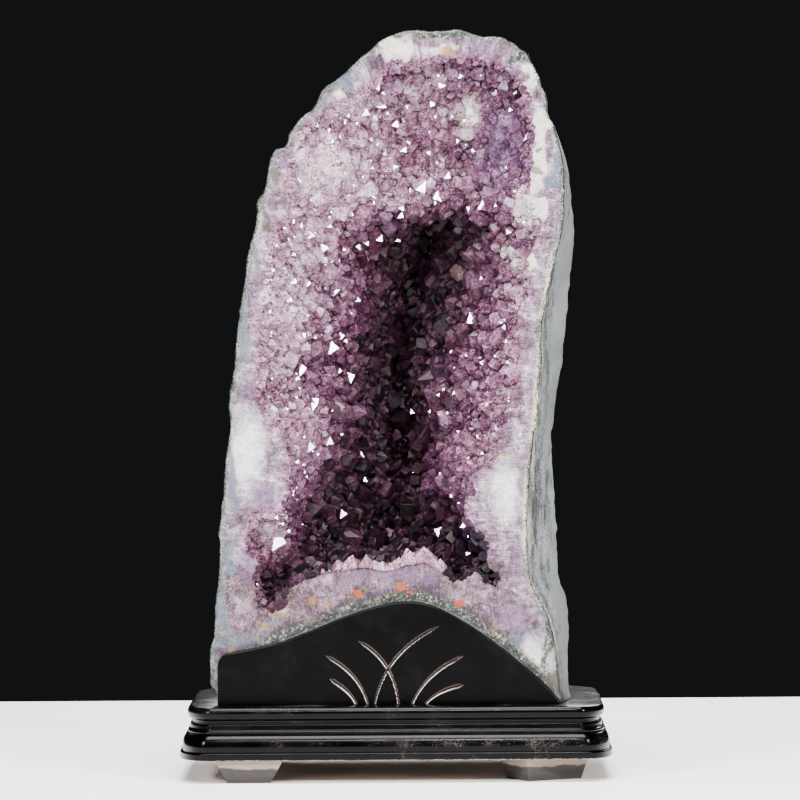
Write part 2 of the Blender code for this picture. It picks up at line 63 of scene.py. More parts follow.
# Camera: a long lens, a little above the middle of the geode.
cameraLook = {
    "place": (0.0355, -5.85, 0.523),
    "lensInPictureWidths": 6.919,
    "tiltDown": 1.283,
    "turnLeft": 0.29,
    "roll": -0.37,
}
sensorWidth = 36.0  # millimetres
viewWidth = 800.0
focalPixels = cameraLook["lensInPictureWidths"] * viewWidth
cameraPlace = Vector(cameraLook["place"])
cameraTilt = math.radians(90.0 - cameraLook["tiltDown"])
cameraAim = Euler((cameraTilt, 0.0, math.radians(cameraLook["turnLeft"])), "XYZ")
cameraTurn = cameraAim.to_matrix() @ Matrix.Rotation(math.radians(cameraLook["roll"]), 3, "Z")


def makeCamera():
    data = bpy.data.cameras.new("viewCamera")
    data.sensor_width = sensorWidth
    data.lens = sensorWidth * cameraLook["lensInPictureWidths"]
    data.clip_end = 40.0
    camera = bpy.data.objects.new("viewCamera", data)
    bpy.context.scene.collection.objects.link(camera)
    camera.matrix_world = Matrix.Translation(cameraPlace) @ cameraTurn.to_4x4()
    bpy.context.scene.camera = camera


makeCamera()

# Where the stone and the plinth stand: these heights and depths are those of the CAD solids.
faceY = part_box("geode_shell")[0].y
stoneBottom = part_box("geode_shell")[0].z
plinthLow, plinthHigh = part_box("plinth")


def rayAt(across, down):  # the line of sight through a place in the view
    half = viewWidth / 2.0
    ahead = Vector(((across - half) / focalPixels, (half - down) / focalPixels, -1.0))
    return (cameraTurn @ ahead).normalized()


def faceAt(across, down):  # the place on the cut face that is seen there
    ray = rayAt(across, down)
    spot = cameraPlace + ray * ((faceY - cameraPlace.y) / ray.y)
    return spot.x, spot.z


def viewOf(points):  # where points in space are seen in the view
    x, y, z = ((np.asarray(points, dtype=float) - np.array(cameraPlace)) @ np.array(cameraTurn)).T
    half = viewWidth / 2.0
    return half + focalPixels * x / -z, half - focalPixels * y / -z


facePixelsPerMetre = focalPixels / (faceY - cameraPlace.y)


# The studio: floor, backdrop and lamps. Those with glints are the ones that bright crystals face.
studioLook = {
    "floor": (0.94, 0.94, 0.94, 1.0),
    "floorWorn": (0.90, 0.90, 0.91, 1.0),
    "floorSize": (5.0, 3.4),
    "floorBackEdge": 0.98,
    "world": (0.0085, 0.0088, 0.010, 1.0),
    "lamps": [
        {"name": "keyRight", "place": (2.7, -3.1, 1.9), "size": 0.42, "power": 195.0, "glints": True},
        {"name": "keyLeft", "place": (-2.7, -3.1, 1.9), "size": 0.42, "power": 195.0, "glints": True},
        {"name": "frontAbove", "place": (0.1, -4.2, 2.9), "size": 0.40, "power": 95.0, "glints": True},
        {"name": "above", "place": (0.0, -0.7, 2.6), "size": 1.8, "power": 260.0, "glints": False},
        {"name": "behind", "place": (0.4, 3.4, 2.0), "size": 1.8, "power": 110.0, "glints": False},
    ],
    "aim": (0.0, -0.05, 0.38),
}

# Small tools for numbers and curves

def fade(value, low, high):  # 0 below low, 1 above high, smooth between
    t = np.clip((np.asarray(value, dtype=float) - low) / (high - low), 0.0, 1.0)
    return t * t * (3.0 - 2.0 * t)


def evenRun(points, steps):
    points = np.array(points, dtype=float)
    length = np.concatenate([[0.0], np.cumsum(np.linalg.norm(np.diff(points, axis=0), axis=1))])
    wanted = np.linspace(0.0, length[-1], steps + 1)
    return np.column_stack([np.interp(wanted, length, column) for column in points.T])


def smoothRun(points, steps, closed=True):
    points = np.array(points, dtype=float)
    if closed:
        padded = np.vstack([points[-1:], points, points[:2]])
    else:
        padded = np.vstack([2 * points[0] - points[1], points, 2 * points[-1] - points[-2]])
    t = np.arange(0.0, 1.0, 0.1)[:, None]
    fine = []
    for before, start, end, after in zip(padded, padded[1:], padded[2:], padded[3:]):
        bend = (2 * before - 5 * start + 4 * end - after) * t ** 2
        twist = (3 * start - before - 3 * end + after) * t ** 3
        fine.append(0.5 * (2 * start + (end - before) * t + bend + twist))
    fine.append(points[:1] if closed else points[-1:])
    run = evenRun(np.vstack(fine), steps)
    return run[:-1] if closed else run


def noiseAt(points, wave, seed=0.0, octaves=3):  # smooth noise of about -1 to 1 at each point
    return np.array([noise.fractal(Vector((x / wave + seed, y / wave, z / wave)), 1.0, 2.0, octaves)
                     for x, y, z in points])


def roughenLoop(loop, amount, wave, seed):  # little chips along a closed outline
    ahead, behind = np.roll(loop, -1, axis=0), np.roll(loop, 1, axis=0)
    along = ahead - behind
    outward = np.column_stack([along[:, 1], -along[:, 0]])
    outward /= np.linalg.norm(outward, axis=1)[:, None]
    flat = np.column_stack([loop[:, 0], np.zeros(len(loop)), loop[:, 1]])
    return loop + outward * (noiseAt(flat, wave, seed, 4) * amount)[:, None]


def meshObject(name, points, faces, smooth=False):
    mesh = bpy.data.meshes.new(name)
    mesh.from_pydata(np.asarray(points).tolist(), [], [tuple(int(i) for i in face) for face in faces])
    mesh.validate()
    mesh.polygons.foreach_set("use_smooth", [smooth] * len(mesh.polygons))
    thing = bpy.data.objects.new(name, mesh)
    bpy.context.scene.collection.objects.link(thing)
    return thing


def rework(thing, work):
    bm = bmesh.new()
    bm.from_mesh(thing.data)
    work(bm)
    bm.to_mesh(thing.data)
    bm.free()


def turnOutward(thing):
    rework(thing, lambda bm: bmesh.ops.recalc_face_normals(bm, faces=bm.faces))


def setValues(thing, name, values, domain="POINT"):
    layer = thing.data.attributes.new(name, "FLOAT", domain)
    layer.data.foreach_set("value", np.asarray(values, dtype=np.float32))


def gridFaces(rows, columns, wrap=True):
    faces = []
    for row in range(rows - 1):
        for column in range(columns if wrap else columns - 1):
            a, b = row * columns + column, row * columns + (column + 1) % columns
            faces.append((a, b, b + columns, a + columns))
    return faces


def domeFaces(rows, columns):  # rings of points that close in on one last point, the pole
    last, pole = (rows - 1) * columns, rows * columns
    fan = [(last + k, last + (k + 1) % columns, pole) for k in range(columns)]
    return gridFaces(rows, columns) + fan


# Shader tools

def srgb(red, green, blue):  # a colour as the eye names it, from 0 to 255, for a shader
    return tuple(round((part / 255.0) ** 2.2, 4) for part in (red, green, blue)) + (1.0,)


def feed(tree, node, inputs):  # joins each input to a socket, or gives it a plain value
    for name, value in inputs.items():
        if isinstance(value, bpy.types.NodeSocket):
            tree.links.new(value, node.inputs[name])
        else:
            node.inputs[name].default_value = value


def put(tree, kind, inputs=None, **settings):  # adds a node, sets or joins its inputs
    node = tree.nodes.new(kind)
    for name, value in settings.items():
        setattr(node, name, value)
    feed(tree, node, inputs or {})
    return node


def mixColours(tree, factor, first, second, how="MIX"):
    return put(tree, "ShaderNodeMix", {0: factor, 6: first, 7: second},
               data_type="RGBA", blend_type=how).outputs[2]


def calc(tree, how, *values):
    return put(tree, "ShaderNodeMath", dict(enumerate(values)), operation=how).outputs[0]


def spread(tree, value, low, high, outLow=0.0, outHigh=1.0):  # smooth step between two limits
    return put(tree, "ShaderNodeMapRange", {"Value": value, "From Min": low, "From Max": high,
                                            "To Min": outLow, "To Max": outHigh},
               interpolation_type="SMOOTHSTEP").outputs["Result"]


def colourSteps(tree, value, stops):  # each step is its place and then its colour in parts of 255
    node = put(tree, "ShaderNodeValToRGB", {"Fac": value})
    ramp = node.color_ramp
    while len(ramp.elements) < len(stops):
        ramp.elements.new(0.5)
    for element, (place, *parts) in zip(ramp.elements, stops):
        element.position = place
        element.color = srgb(*parts)
    return node.outputs["Color"]


def meshValue(tree, name):
    return put(tree, "ShaderNodeAttribute", attribute_name=name).outputs["Fac"]


def placeOf(tree):
    return put(tree, "ShaderNodeTexCoord").outputs["Object"]


def cloud(tree, place, scale, detail=4.0, roughness=0.55, distortion=0.0):
    return put(tree, "ShaderNodeTexNoise",
               {"Vector": place, "Scale": scale, "Detail": detail, "Roughness": roughness,
                "Distortion": distortion}).outputs["Fac"]


def joined(tree, x, y, z):
    return put(tree, "ShaderNodeCombineXYZ", {"X": x, "Y": y, "Z": z}).outputs["Vector"]


def chain(tree, how, values):
    result = values[0]
    for value in values[1:]:
        result = calc(tree, how, result, value)
    return result


def total(tree, *values):
    return chain(tree, "ADD", values)


def times(tree, *values):
    return chain(tree, "MULTIPLY", values)


def around(tree, value, amount):  # noise of 0 to 1 made to swing by an amount around zero
    return times(tree, calc(tree, "SUBTRACT", value, 0.5), amount)


def newGroup(name, inputs, outputs):
    group = bpy.data.node_groups.new(name, "ShaderNodeTree")
    kinds = {"value": "NodeSocketFloat", "colour": "NodeSocketColor", "vector": "NodeSocketVector"}
    for title, kind, value in inputs:
        socket = group.interface.new_socket(name=title, in_out="INPUT", socket_type=kinds[kind])
        if value is not None:
            socket.default_value = value
    for title, kind in outputs:
        group.interface.new_socket(name=title, in_out="OUTPUT", socket_type=kinds[kind])
    return group, group.nodes.new("NodeGroupInput").outputs, group.nodes.new("NodeGroupOutput").inputs


def useGroup(tree, group, inputs):
    return put(tree, "ShaderNodeGroup", inputs, node_tree=group).outputs


def newMaterial(name):
    material = bpy.data.materials.new(name)
    material.use_nodes = True
    tree = material.node_tree
    tree.nodes.clear()
    shader = tree.nodes.new("ShaderNodeBsdfPrincipled")
    output = tree.nodes.new("ShaderNodeOutputMaterial")
    tree.links.new(shader.outputs["BSDF"], output.inputs["Surface"])
    return material, tree, shader


def finish(tree, shader, colour, roughness, height=None, strength=0.5, distance=0.001, **plain):
    # the plain values are named as the shader's sockets are, with a low dash for each space
    feed(tree, shader, {"Base Color": colour, "Roughness": roughness})
    if height is not None:
        bump = put(tree, "ShaderNodeBump", {"Height": height, "Strength": strength, "Distance": distance})
        feed(tree, shader, {"Normal": bump.outputs["Normal"]})
    feed(tree, shader, {name.replace("_", " "): value for name, value in plain.items()})


# Node groups: the rim uses the first for each of its patches, the second for its basalt. The
# lacquer's own group, scuffs, is made beside the lacquer.

def makeBrokenEdge():  # breaks the soft edge of a mask into ragged patches
    group, given, result = newGroup("brokenEdge", [("Mask", "value", 0.0), ("Place", "vector", None),
                                                   ("Scale", "value", 200.0), ("Raggedness", "value", 0.6),
                                                   ("Sharpness", "value", 0.15)], [("Mask", "value")])
    tatter = cloud(group, given["Place"], given["Scale"], 5.0, 0.65)
    shifted = around(group, tatter, given["Raggedness"])
    torn = calc(group, "ADD", given["Mask"], shifted)
    low = calc(group, "SUBTRACT", 0.5, given["Sharpness"])
    high = calc(group, "ADD", 0.5, given["Sharpness"])
    group.links.new(spread(group, torn, low, high), result["Mask"])
    return group


def makeGrains():  # granular speckle: grains of many tones with dark joints
    group, given, result = newGroup("grains", [("Place", "vector", None), ("Scale", "value", 500.0)],
                                    [("Tone", "value"), ("Joint", "value")])
    cells = put(group, "ShaderNodeTexVoronoi", {"Vector": given["Place"], "Scale": given["Scale"]})
    tone = put(group, "ShaderNodeSeparateColor", {"Color": cells.outputs["Color"]}).outputs["Red"]
    edges = put(group, "ShaderNodeTexVoronoi", {"Vector": given["Place"], "Scale": given["Scale"]},
                feature="DISTANCE_TO_EDGE")
    group.links.new(tone, result["Tone"])
    group.links.new(spread(group, edges.outputs["Distance"], 0.0, 0.12, 1.0, 0.0), result["Joint"])
    return group


brokenEdge = makeBrokenEdge()
grains = makeGrains()
print("shader groups made")

# The stone: a dome behind its cut face, whose outline is given below.
stoneLook = {
    "segments": 480,
    "rings": 110,
    "depth": 0.218,
    "roundness": 0.80,
    "middle": (0.0, 0.370),
    "lumps": 0.0060,
    "lumpWave": 0.077,
    "dents": 0.0009,
    "chips": 0.0011,
    "bulgeReach": 0.060,
}
# The outline as (x, z), counterclockwise from the right leg. The last points lie under the
# plinth's top, where the stone is cut flat.
stoneOutline = [
    (0.1720, 0.0560), (0.1739, 0.0770), (0.1709, 0.0911), (0.1675, 0.1224), (0.1660, 0.1380),
    (0.1610, 0.1609), (0.1554, 0.1755), (0.1466, 0.1912), (0.1404, 0.2068), (0.1382, 0.2370),
    (0.1377, 0.2599), (0.1393, 0.2901), (0.1445, 0.3514), (0.1498, 0.3722), (0.1518, 0.4118),
    (0.1544, 0.4336), (0.1535, 0.4555), (0.1557, 0.4773), (0.1600, 0.4991), (0.1664, 0.5282),
    (0.1718, 0.5500), (0.1769, 0.5719), (0.1783, 0.5979), (0.1780, 0.6280), (0.1756, 0.6509),
    (0.1674, 0.6791), (0.1623, 0.6895), (0.1603, 0.7062), (0.1542, 0.7260), (0.1440, 0.7469),
    (0.1400, 0.7552), (0.1248, 0.7642), (0.1157, 0.7704), (0.0941, 0.7722), (0.0775, 0.7770),
    (0.0700, 0.7795), (0.0546, 0.7785), (0.0390, 0.7780), (0.0187, 0.7785), (0.0088, 0.7764),
    (-0.0083, 0.7697), (-0.0190, 0.7604), (-0.0343, 0.7485), (-0.0574, 0.7274), (-0.0711, 0.7191),
    (-0.0804, 0.7000), (-0.0942, 0.6885), (-0.1065, 0.6725), (-0.1113, 0.6574), (-0.1205, 0.6560),
    (-0.1266, 0.6456), (-0.1329, 0.6147), (-0.1406, 0.6010), (-0.1415, 0.5874), (-0.1439, 0.5718),
    (-0.1501, 0.5511), (-0.1534, 0.5261), (-0.1581, 0.4991), (-0.1628, 0.4648), (-0.1662, 0.4273),
    (-0.1709, 0.4024), (-0.1718, 0.3816), (-0.1704, 0.3660), (-0.1752, 0.3327), (-0.1792, 0.2890),
    (-0.1840, 0.2547), (-0.1819, 0.2464), (-0.1843, 0.2089), (-0.1877, 0.1777), (-0.1893, 0.1476),
    (-0.1925, 0.1361), (-0.1934, 0.1143), (-0.1928, 0.0976), (-0.1895, 0.0945), (-0.1865, 0.0872),
    (-0.1780, 0.0560), (-0.1200, 0.0300), (0.0000, 0.0180), (0.1200, 0.0300),
]
# Edge between the polished rim and the crystals, counterclockwise from the top.
crystalEdge = [
    (0.016, 0.742), (0.006, 0.748), (-0.004, 0.738), (-0.023, 0.719), (-0.050, 0.702), (-0.078, 0.686),
    (-0.097, 0.670), (-0.106, 0.644), (-0.109, 0.618), (-0.106, 0.593), (-0.113, 0.577), (-0.121, 0.568),
    (-0.129, 0.549), (-0.132, 0.522), (-0.136, 0.503), (-0.134, 0.474), (-0.137, 0.450), (-0.140, 0.419),
    (-0.142, 0.396), (-0.127, 0.375), (-0.115, 0.366), (-0.112, 0.350), (-0.107, 0.330), (-0.108, 0.303),
    (-0.121, 0.277), (-0.146, 0.280), (-0.152, 0.259), (-0.152, 0.238), (-0.140, 0.225), (-0.146, 0.213),
    (-0.145, 0.192), (-0.141, 0.181), (-0.128, 0.176), (-0.116, 0.182), (-0.115, 0.193), (-0.100, 0.208),
    (-0.080, 0.212), (-0.062, 0.216), (-0.046, 0.218), (-0.030, 0.219), (-0.013, 0.216), (0.000, 0.217),
    (0.011, 0.222), (0.020, 0.222), (0.030, 0.224), (0.040, 0.219), (0.050, 0.212), (0.064, 0.206),
    (0.081, 0.214), (0.088, 0.218), (0.092, 0.208), (0.104, 0.199), (0.107, 0.210), (0.096, 0.222),
    (0.095, 0.241), (0.088, 0.254), (0.075, 0.267), (0.072, 0.285), (0.082, 0.302), (0.076, 0.312),
    (0.089, 0.323), (0.102, 0.332), (0.105, 0.344), (0.109, 0.357), (0.120, 0.387), (0.125, 0.417),
    (0.129, 0.440), (0.130, 0.463), (0.129, 0.486), (0.138, 0.504), (0.139, 0.527), (0.138, 0.540),
    (0.144, 0.550), (0.152, 0.582), (0.138, 0.605), (0.142, 0.621), (0.142, 0.651), (0.146, 0.674),
    (0.136, 0.697), (0.141, 0.713), (0.116, 0.739), (0.099, 0.745), (0.074, 0.749), (0.036, 0.747),
]
# The arch between the legs, from the left foot over to the right one.
archOutline = [
    (-0.146, 0.060), (-0.142, 0.118), (-0.117, 0.137), (-0.085, 0.150), (-0.053, 0.163),
    (-0.022, 0.173), (0.010, 0.178), (0.039, 0.174), (0.067, 0.160), (0.100, 0.137),
    (0.128, 0.113), (0.144, 0.090), (0.150, 0.060),
]
archDepth = 0.105  # how far the arch is cut in from the face
# How far the stone swells out to the right behind its cut face, at these heights.
bulgeHeights = [0.08, 0.13, 0.19, 0.26, 0.38, 0.47, 0.60, 0.70]
bulgeWidths = [0.012, 0.018, 0.031, 0.035, 0.022, 0.029, 0.012, 0.003]


def loopFrom(points, centre, steps):  # a closed run that starts to the right of the centre
    run = smoothRun(points, steps)
    above = np.abs(run[:, 1] - centre[1])
    above[run[:, 0] < centre[0]] = np.inf
    return np.roll(run, -int(np.argmin(above)), axis=0)


def softened(loop, reach):
    return sum(np.roll(loop, shift, axis=0) for shift in range(-reach, reach + 1)) / (2 * reach + 1)


stoneLoop = loopFrom(stoneOutline, stoneLook["middle"], stoneLook["segments"])
stoneLoop = roughenLoop(stoneLoop, stoneLook["chips"], 0.011, 3.0)
stoneLoop[:, 1] = np.minimum(stoneLoop[:, 1], cadBox[1][2] - 0.0006)


def stoneWallPlaces():
    middle = np.array(stoneLook["middle"])
    soft = softened(stoneLoop, stoneLook["segments"] // 12)
    rows = []
    for angle in np.linspace(0.0, math.pi / 2, stoneLook["rings"] + 1)[:-1]:
        along, ring = math.sin(angle), math.cos(angle)
        run = stoneLoop + (soft - stoneLoop) * fade(along, 0.1, 0.7)
        flat = middle + (run - middle) * ring ** stoneLook["roundness"]
        y = faceY + along ** stoneLook["roundness"] * stoneLook["depth"]
        behind = fade(y, faceY, faceY + stoneLook["bulgeReach"])
        bulge = np.interp(flat[:, 1], bulgeHeights, bulgeWidths)
        flat[:, 0] += behind * fade(flat[:, 0], 0.02, 0.12) * ring ** 2 * bulge
        rows.append(np.column_stack([flat[:, 0], np.full(len(flat), y), flat[:, 1]]))
    pole = np.array([[middle[0], faceY + stoneLook["depth"], middle[1]]])
    points = np.vstack(rows + [pole])
    behind = fade(points[:, 1], faceY, faceY + stoneLook["bulgeReach"])
    outward = points - np.array([middle[0], faceY, middle[1]])
    outward /= np.linalg.norm(outward, axis=1)[:, None]
    lump = stoneLook["lumps"] * behind * noiseAt(points, stoneLook["lumpWave"], 0.0, 1)
    dent = stoneLook["dents"] * fade(points[:, 1], faceY, faceY + 0.006) * noiseAt(points, 0.012, 5.0, 3)
    return points + outward * (lump + dent)[:, None]


def boundaryBetween(loop, start, end):  # the part of a closed loop from one place on it to another
    first = int(np.argmin(np.linalg.norm(loop - start, axis=1)))
    last = int(np.argmin(np.linalg.norm(loop - end, axis=1)))
    if last <= first:
        last += len(loop)
    return loop[np.arange(first, last + 1) % len(loop)]


def cutAtFoot(loop):  # where the outline meets the plinth, on the right and on the left
    above = loop[:, 1] >= stoneBottom
    crossings = [k for k in range(len(loop)) if above[k] != above[(k + 1) % len(loop)]]
    points = []
    for k in crossings:
        one, other = loop[k], loop[(k + 1) % len(loop)]
        share = (stoneBottom - one[1]) / (other[1] - one[1])
        points.append(one + (other - one) * share)
    return sorted(points, key=lambda point: point[0])


def makeFaceLoops():
    footLeft, footRight = cutAtFoot(stoneLoop)
    over = boundaryBetween(stoneLoop, footRight, footLeft)
    over = over[over[:, 1] > stoneBottom]
    arch = smoothRun(archOutline, 200, closed=False)
    arch = arch[arch[:, 1] > stoneBottom]
    archLeft = np.array([np.interp(stoneBottom, [0.060, 0.118], [-0.146, -0.142]), stoneBottom])
    archRight = np.array([np.interp(stoneBottom, [0.060, 0.090], [0.150, 0.144]), stoneBottom])
    return np.vstack([[footRight], over, [footLeft]]), np.vstack([[archLeft], arch, [archRight]])


overLoop, archLoop = makeFaceLoops()
print("outlines:", len(overLoop), "points over the stone,", len(archLoop), "under it")

faceLook = {
    "steps": 26,
    "outlineSteps": 3200,
    "outerShare": 0.65,
    "innerShare": 0.55,
    "rounding": 0.0016,
    "wander": 0.0010,
    "breakAtCrystals": 0.0020,
}
# Places on the outer edge of the face and the places on the crystals' edge that lie across from
# them, counterclockwise from the right leg.
facePairs = [
    ((0.172, 0.0783), (0.104, 0.199)), ((0.140, 0.207), (0.107, 0.210)), ((0.138, 0.260), (0.080, 0.262)),
    ((0.145, 0.351), (0.105, 0.344)), ((0.154, 0.455), (0.130, 0.460)), ((0.172, 0.550), (0.144, 0.550)),
    ((0.178, 0.600), (0.138, 0.605)), ((0.162, 0.690), (0.138, 0.695)), ((0.140, 0.755), (0.122, 0.735)),
    ((0.070, 0.780), (0.074, 0.749)), ((0.009, 0.776), (0.016, 0.742)),
    ((-0.034, 0.748), (-0.023, 0.719)), ((-0.094, 0.689), (-0.078, 0.686)),
    ((-0.120, 0.656), (-0.106, 0.644)), ((-0.141, 0.601), (-0.106, 0.593)),
    ((-0.158, 0.499), (-0.136, 0.503)), ((-0.171, 0.402), (-0.142, 0.396)),
    ((-0.175, 0.333), (-0.107, 0.330)), ((-0.182, 0.262), (-0.148, 0.275)),
    ((-0.188, 0.178), (-0.146, 0.205)), ((-0.1865, 0.0783), (-0.145, 0.190)),
    ((-0.1452, 0.0783), (-0.136, 0.178)), ((-0.117, 0.137), (-0.116, 0.182)),
    ((-0.085, 0.150), (-0.100, 0.208)), ((-0.022, 0.173), (-0.030, 0.219)),
    ((0.039, 0.174), (0.040, 0.219)), ((0.100, 0.137), (0.090, 0.212)),
    ((0.1465, 0.0783), (0.098, 0.203)),
]


def makeFaceGrid():
    look = faceLook
    outer = np.vstack([overLoop, archLoop])
    outer = evenRun(np.vstack([outer, outer[:1]]), look["outlineSteps"])[:-1]
    inner = roughenLoop(smoothRun(crystalEdge, look["outlineSteps"]), 0.0012, 0.006, 8.0)
    outerParts, innerParts = [], []
    for (one, across), (other, beyond) in zip(facePairs, facePairs[1:] + facePairs[:1]):
        outerPart = boundaryBetween(outer, one, other)
        innerPart = boundaryBetween(inner, across, beyond)
        wanted = max(len(outerPart) * look["outerShare"], len(innerPart) * look["innerShare"])
        steps = max(4, int(round(wanted / 2.0)))
        outerParts.append(evenRun(outerPart, steps)[:-1])
        innerParts.append(evenRun(innerPart, steps)[:-1])
    return np.vstack(outerParts), np.vstack(innerParts)


def nearestDistance(points, loop):
    tree = kdtree.KDTree(len(loop))
    for number, (x, z) in enumerate(loop):
        tree.insert((x, 0.0, z), number)
    tree.balance()
    return np.array([tree.find((x, 0.0, z))[2] for x, z in points])


faceOuter, faceInner = makeFaceGrid()


def makeCutFace():
    shares = fade(np.linspace(0.0, 1.0, faceLook["steps"] + 1), -0.25, 1.15)
    shares = (shares - shares[0]) / (shares[-1] - shares[0])
    rows = [faceOuter + (faceInner - faceOuter) * share for share in shares]
    flat = np.vstack(rows)
    fromOutside = nearestDistance(flat, faceOuter)
    toCrystals = nearestDistance(flat, faceInner)
    spots = np.column_stack([flat[:, 0], np.zeros(len(flat)), flat[:, 1]])
    rounding = faceLook["rounding"] * (1.0 - fade(fromOutside, 0.0, 0.0022)) ** 2
    wander = 0.5 + 0.5 * noiseAt(spots, 0.03, 2.0, 3)
    wander *= faceLook["wander"] * fade(fromOutside, 0.002, 0.010)
    broken = faceLook["breakAtCrystals"] * (1.0 - fade(toCrystals, 0.0, 0.006))
    broken *= 0.6 + 0.8 * noiseAt(spots, 0.006, 4.0, 3)
    depth = faceY + np.clip(rounding + np.clip(wander, 0.0, 0.002) + broken, 0.0, 0.01)  # never past 10 mm
    points = np.column_stack([flat[:, 0], depth, flat[:, 1]])
    face = meshObject("quartz_rim", points, gridFaces(len(rows), len(faceOuter)), smooth=True)
    turnOutward(face)
    # each fibre of the quartz runs from the outside to the crystals and starts at its own place
    setValues(face, "fibreX", np.tile(faceOuter[:, 0], len(rows)))
    setValues(face, "fibreZ", np.tile(faceOuter[:, 1], len(rows)))
    return face, flat, fromOutside, toCrystals


rimFace, rimFlat, rimFromOutside, rimToCrystals = makeCutFace()
print("cut face:", len(rimFace.data.polygons), "faces")


def makeStoneWall():
    points = stoneWallPlaces()
    faces = domeFaces(stoneLook["rings"], stoneLook["segments"])
    wall = meshObject("stone_wall", points, faces, smooth=True)
    rework(wall, cutUnderneath)
    return wall


def cutUnderneath(bm):  # the sole that stands on the plinth, and the arch cut into it
    everything = bm.verts[:] + bm.edges[:] + bm.faces[:]
    bmesh.ops.bisect_plane(bm, geom=everything, dist=1e-6, plane_co=(0.0, 0.0, stoneBottom),
                           plane_no=(0.0, 0.0, -1.0), clear_outer=True)
    bmesh.ops.recalc_face_normals(bm, faces=bm.faces)
    sole = [vert for vert in bm.verts if abs(vert.co.z - stoneBottom) < 1e-5]
    centre = Vector((0.0, faceY, 0.0))
    sole.sort(key=lambda vert: math.atan2(vert.co.y - centre.y + 1e-4, vert.co.x - centre.x))
    front = [bm.verts.new((x, faceY, z)) for x, z in archLoop]
    back = [bm.verts.new((x, faceY + archDepth, z)) for x, z in archLoop]
    archFaces = [bm.faces.new((front[k], front[k + 1], back[k + 1], back[k]))
                 for k in range(len(front) - 1)]
    archFaces.append(bm.faces.new(back))
    archFaces.append(bm.faces.new([*sole, front[0], back[0], back[-1], front[-1]]))
    bmesh.ops.recalc_face_normals(bm, faces=archFaces)


stoneWall = makeStoneWall()
print("stone wall:", len(stoneWall.data.polygons), "faces")

# The hollow: its wall is a bed of small quartz, and the crystals stand on it.
hollowLook = {
    "middle": (0.0, 0.430),
    "segments": 360,
    "rings": 120,
    "bowlDepth": 0.098,
    "bowlDepthTop": 0.070,
    "bowlDeepBelow": 0.52,
    "bowlShallowAbove": 0.66,
    "sideSlope": 1.30,
    "endSlope": 0.75,
    "cleftDepth": 0.072,
    "cleftHalfWidth": 0.036,
    "shelfPlace": (-0.076, 0.640),
    "shelfSize": (0.045, 0.050),
    "shelfRise": 0.70,
    "outlineSteps": 1440,
}
# Where the cleft runs in the back of the hollow: heights, and its middle there.
cleftHeights = [0.24, 0.34, 0.40, 0.47, 0.54, 0.60]
cleftPlaces = [0.004, 0.016, 0.008, 0.010, 0.030, 0.062]
hollowLoop = loopFrom(crystalEdge, hollowLook["middle"], hollowLook["outlineSteps"])
hollowMouth = np.array([0.01, faceY - 0.03, 0.43])  # the crystals point roughly this way


def hollowPlaces(turn, along):  # places on the hollow's wall; along is 0 at the rim and 1 at the back
    look = hollowLook
    ring = np.sqrt(1.0 - along ** 2)
    slope = look["sideSlope"] + (look["endSlope"] - look["sideSlope"]) * np.sin(turn * 2.0 * math.pi) ** 2
    steps = np.arange(len(hollowLoop) + 1) / len(hollowLoop)
    closed = np.vstack([hollowLoop, hollowLoop[:1]])
    edge = np.column_stack([np.interp(turn % 1.0, steps, closed[:, axis]) for axis in (0, 1)])
    middle = np.array(look["middle"])
    flat = middle + (edge - middle) * (ring ** slope)[:, None]
    x, z = flat[:, 0], flat[:, 1]
    reach = along ** slope
    bowl = reach * (look["bowlDepth"] + (look["bowlDepthTop"] - look["bowlDepth"])
                    * fade(z, look["bowlDeepBelow"], look["bowlShallowAbove"]))
    shelf = np.exp(-((x - look["shelfPlace"][0]) / look["shelfSize"][0]) ** 2
                   - ((z - look["shelfPlace"][1]) / look["shelfSize"][1]) ** 2)
    cleftMiddle = np.interp(z, cleftHeights, cleftPlaces)
    halfWidth = look["cleftHalfWidth"] * (1.0 + 0.5 * (1.0 - fade(z, 0.25, 0.40)))
    halfWidth = halfWidth * (1.0 - 0.35 * fade(z, 0.52, 0.60))
    cleft = np.exp(-((x - cleftMiddle) / halfWidth) ** 2) * (1.0 - fade(z, 0.567, 0.602))
    depth = bowl * (1.0 - look["shelfRise"] * shelf) + fade(along, 0.0, 0.6) * look["cleftDepth"] * cleft
    return np.column_stack([x, faceY + depth, z])


def makeHollowGrid(segments, rings):
    turns = np.arange(segments) / segments
    rows = [hollowPlaces(turns, np.full(segments, math.sin(angle)))
            for angle in np.linspace(0.0, math.pi / 2, rings + 1)[:-1]]
    pole = hollowPlaces(np.array([0.0]), np.array([1.0]))
    return np.vstack(rows + [pole]), domeFaces(rings, segments)


def makeCrystalBed():
    points, faces = makeHollowGrid(hollowLook["segments"], hollowLook["rings"])
    inside = fade(points[:, 1], faceY, faceY + 0.01)
    points[:, 1] += inside * 0.0012 * noiseAt(points, 0.006, 1.0, 2)
    bed = meshObject("crystal_bed", points, faces, smooth=True)
    turnOutward(bed)
    bed.data.flip_normals()
    return bed


crystalBed = makeCrystalBed()
print("crystal bed:", len(crystalBed.data.polygons), "faces")

crystalLook = {
    "candidates": 90000,
    "spacing": 0.0092,
    "smallSpacing": 0.0050,
    "radius": 0.0068,
    "smallRadius": 0.0034,
    "height": 1.0,
    "lean": 0.32,
    "uneven": 0.65,
    "shapes": 28,
    "ridge": 0.075,
    "smallRidge": 0.0,
    "behindCut": 0.0006,
    "sparks": 150,
    "deepTone": 0.40,
    "peakDepth": 0.024,
    "seed": 7,
}


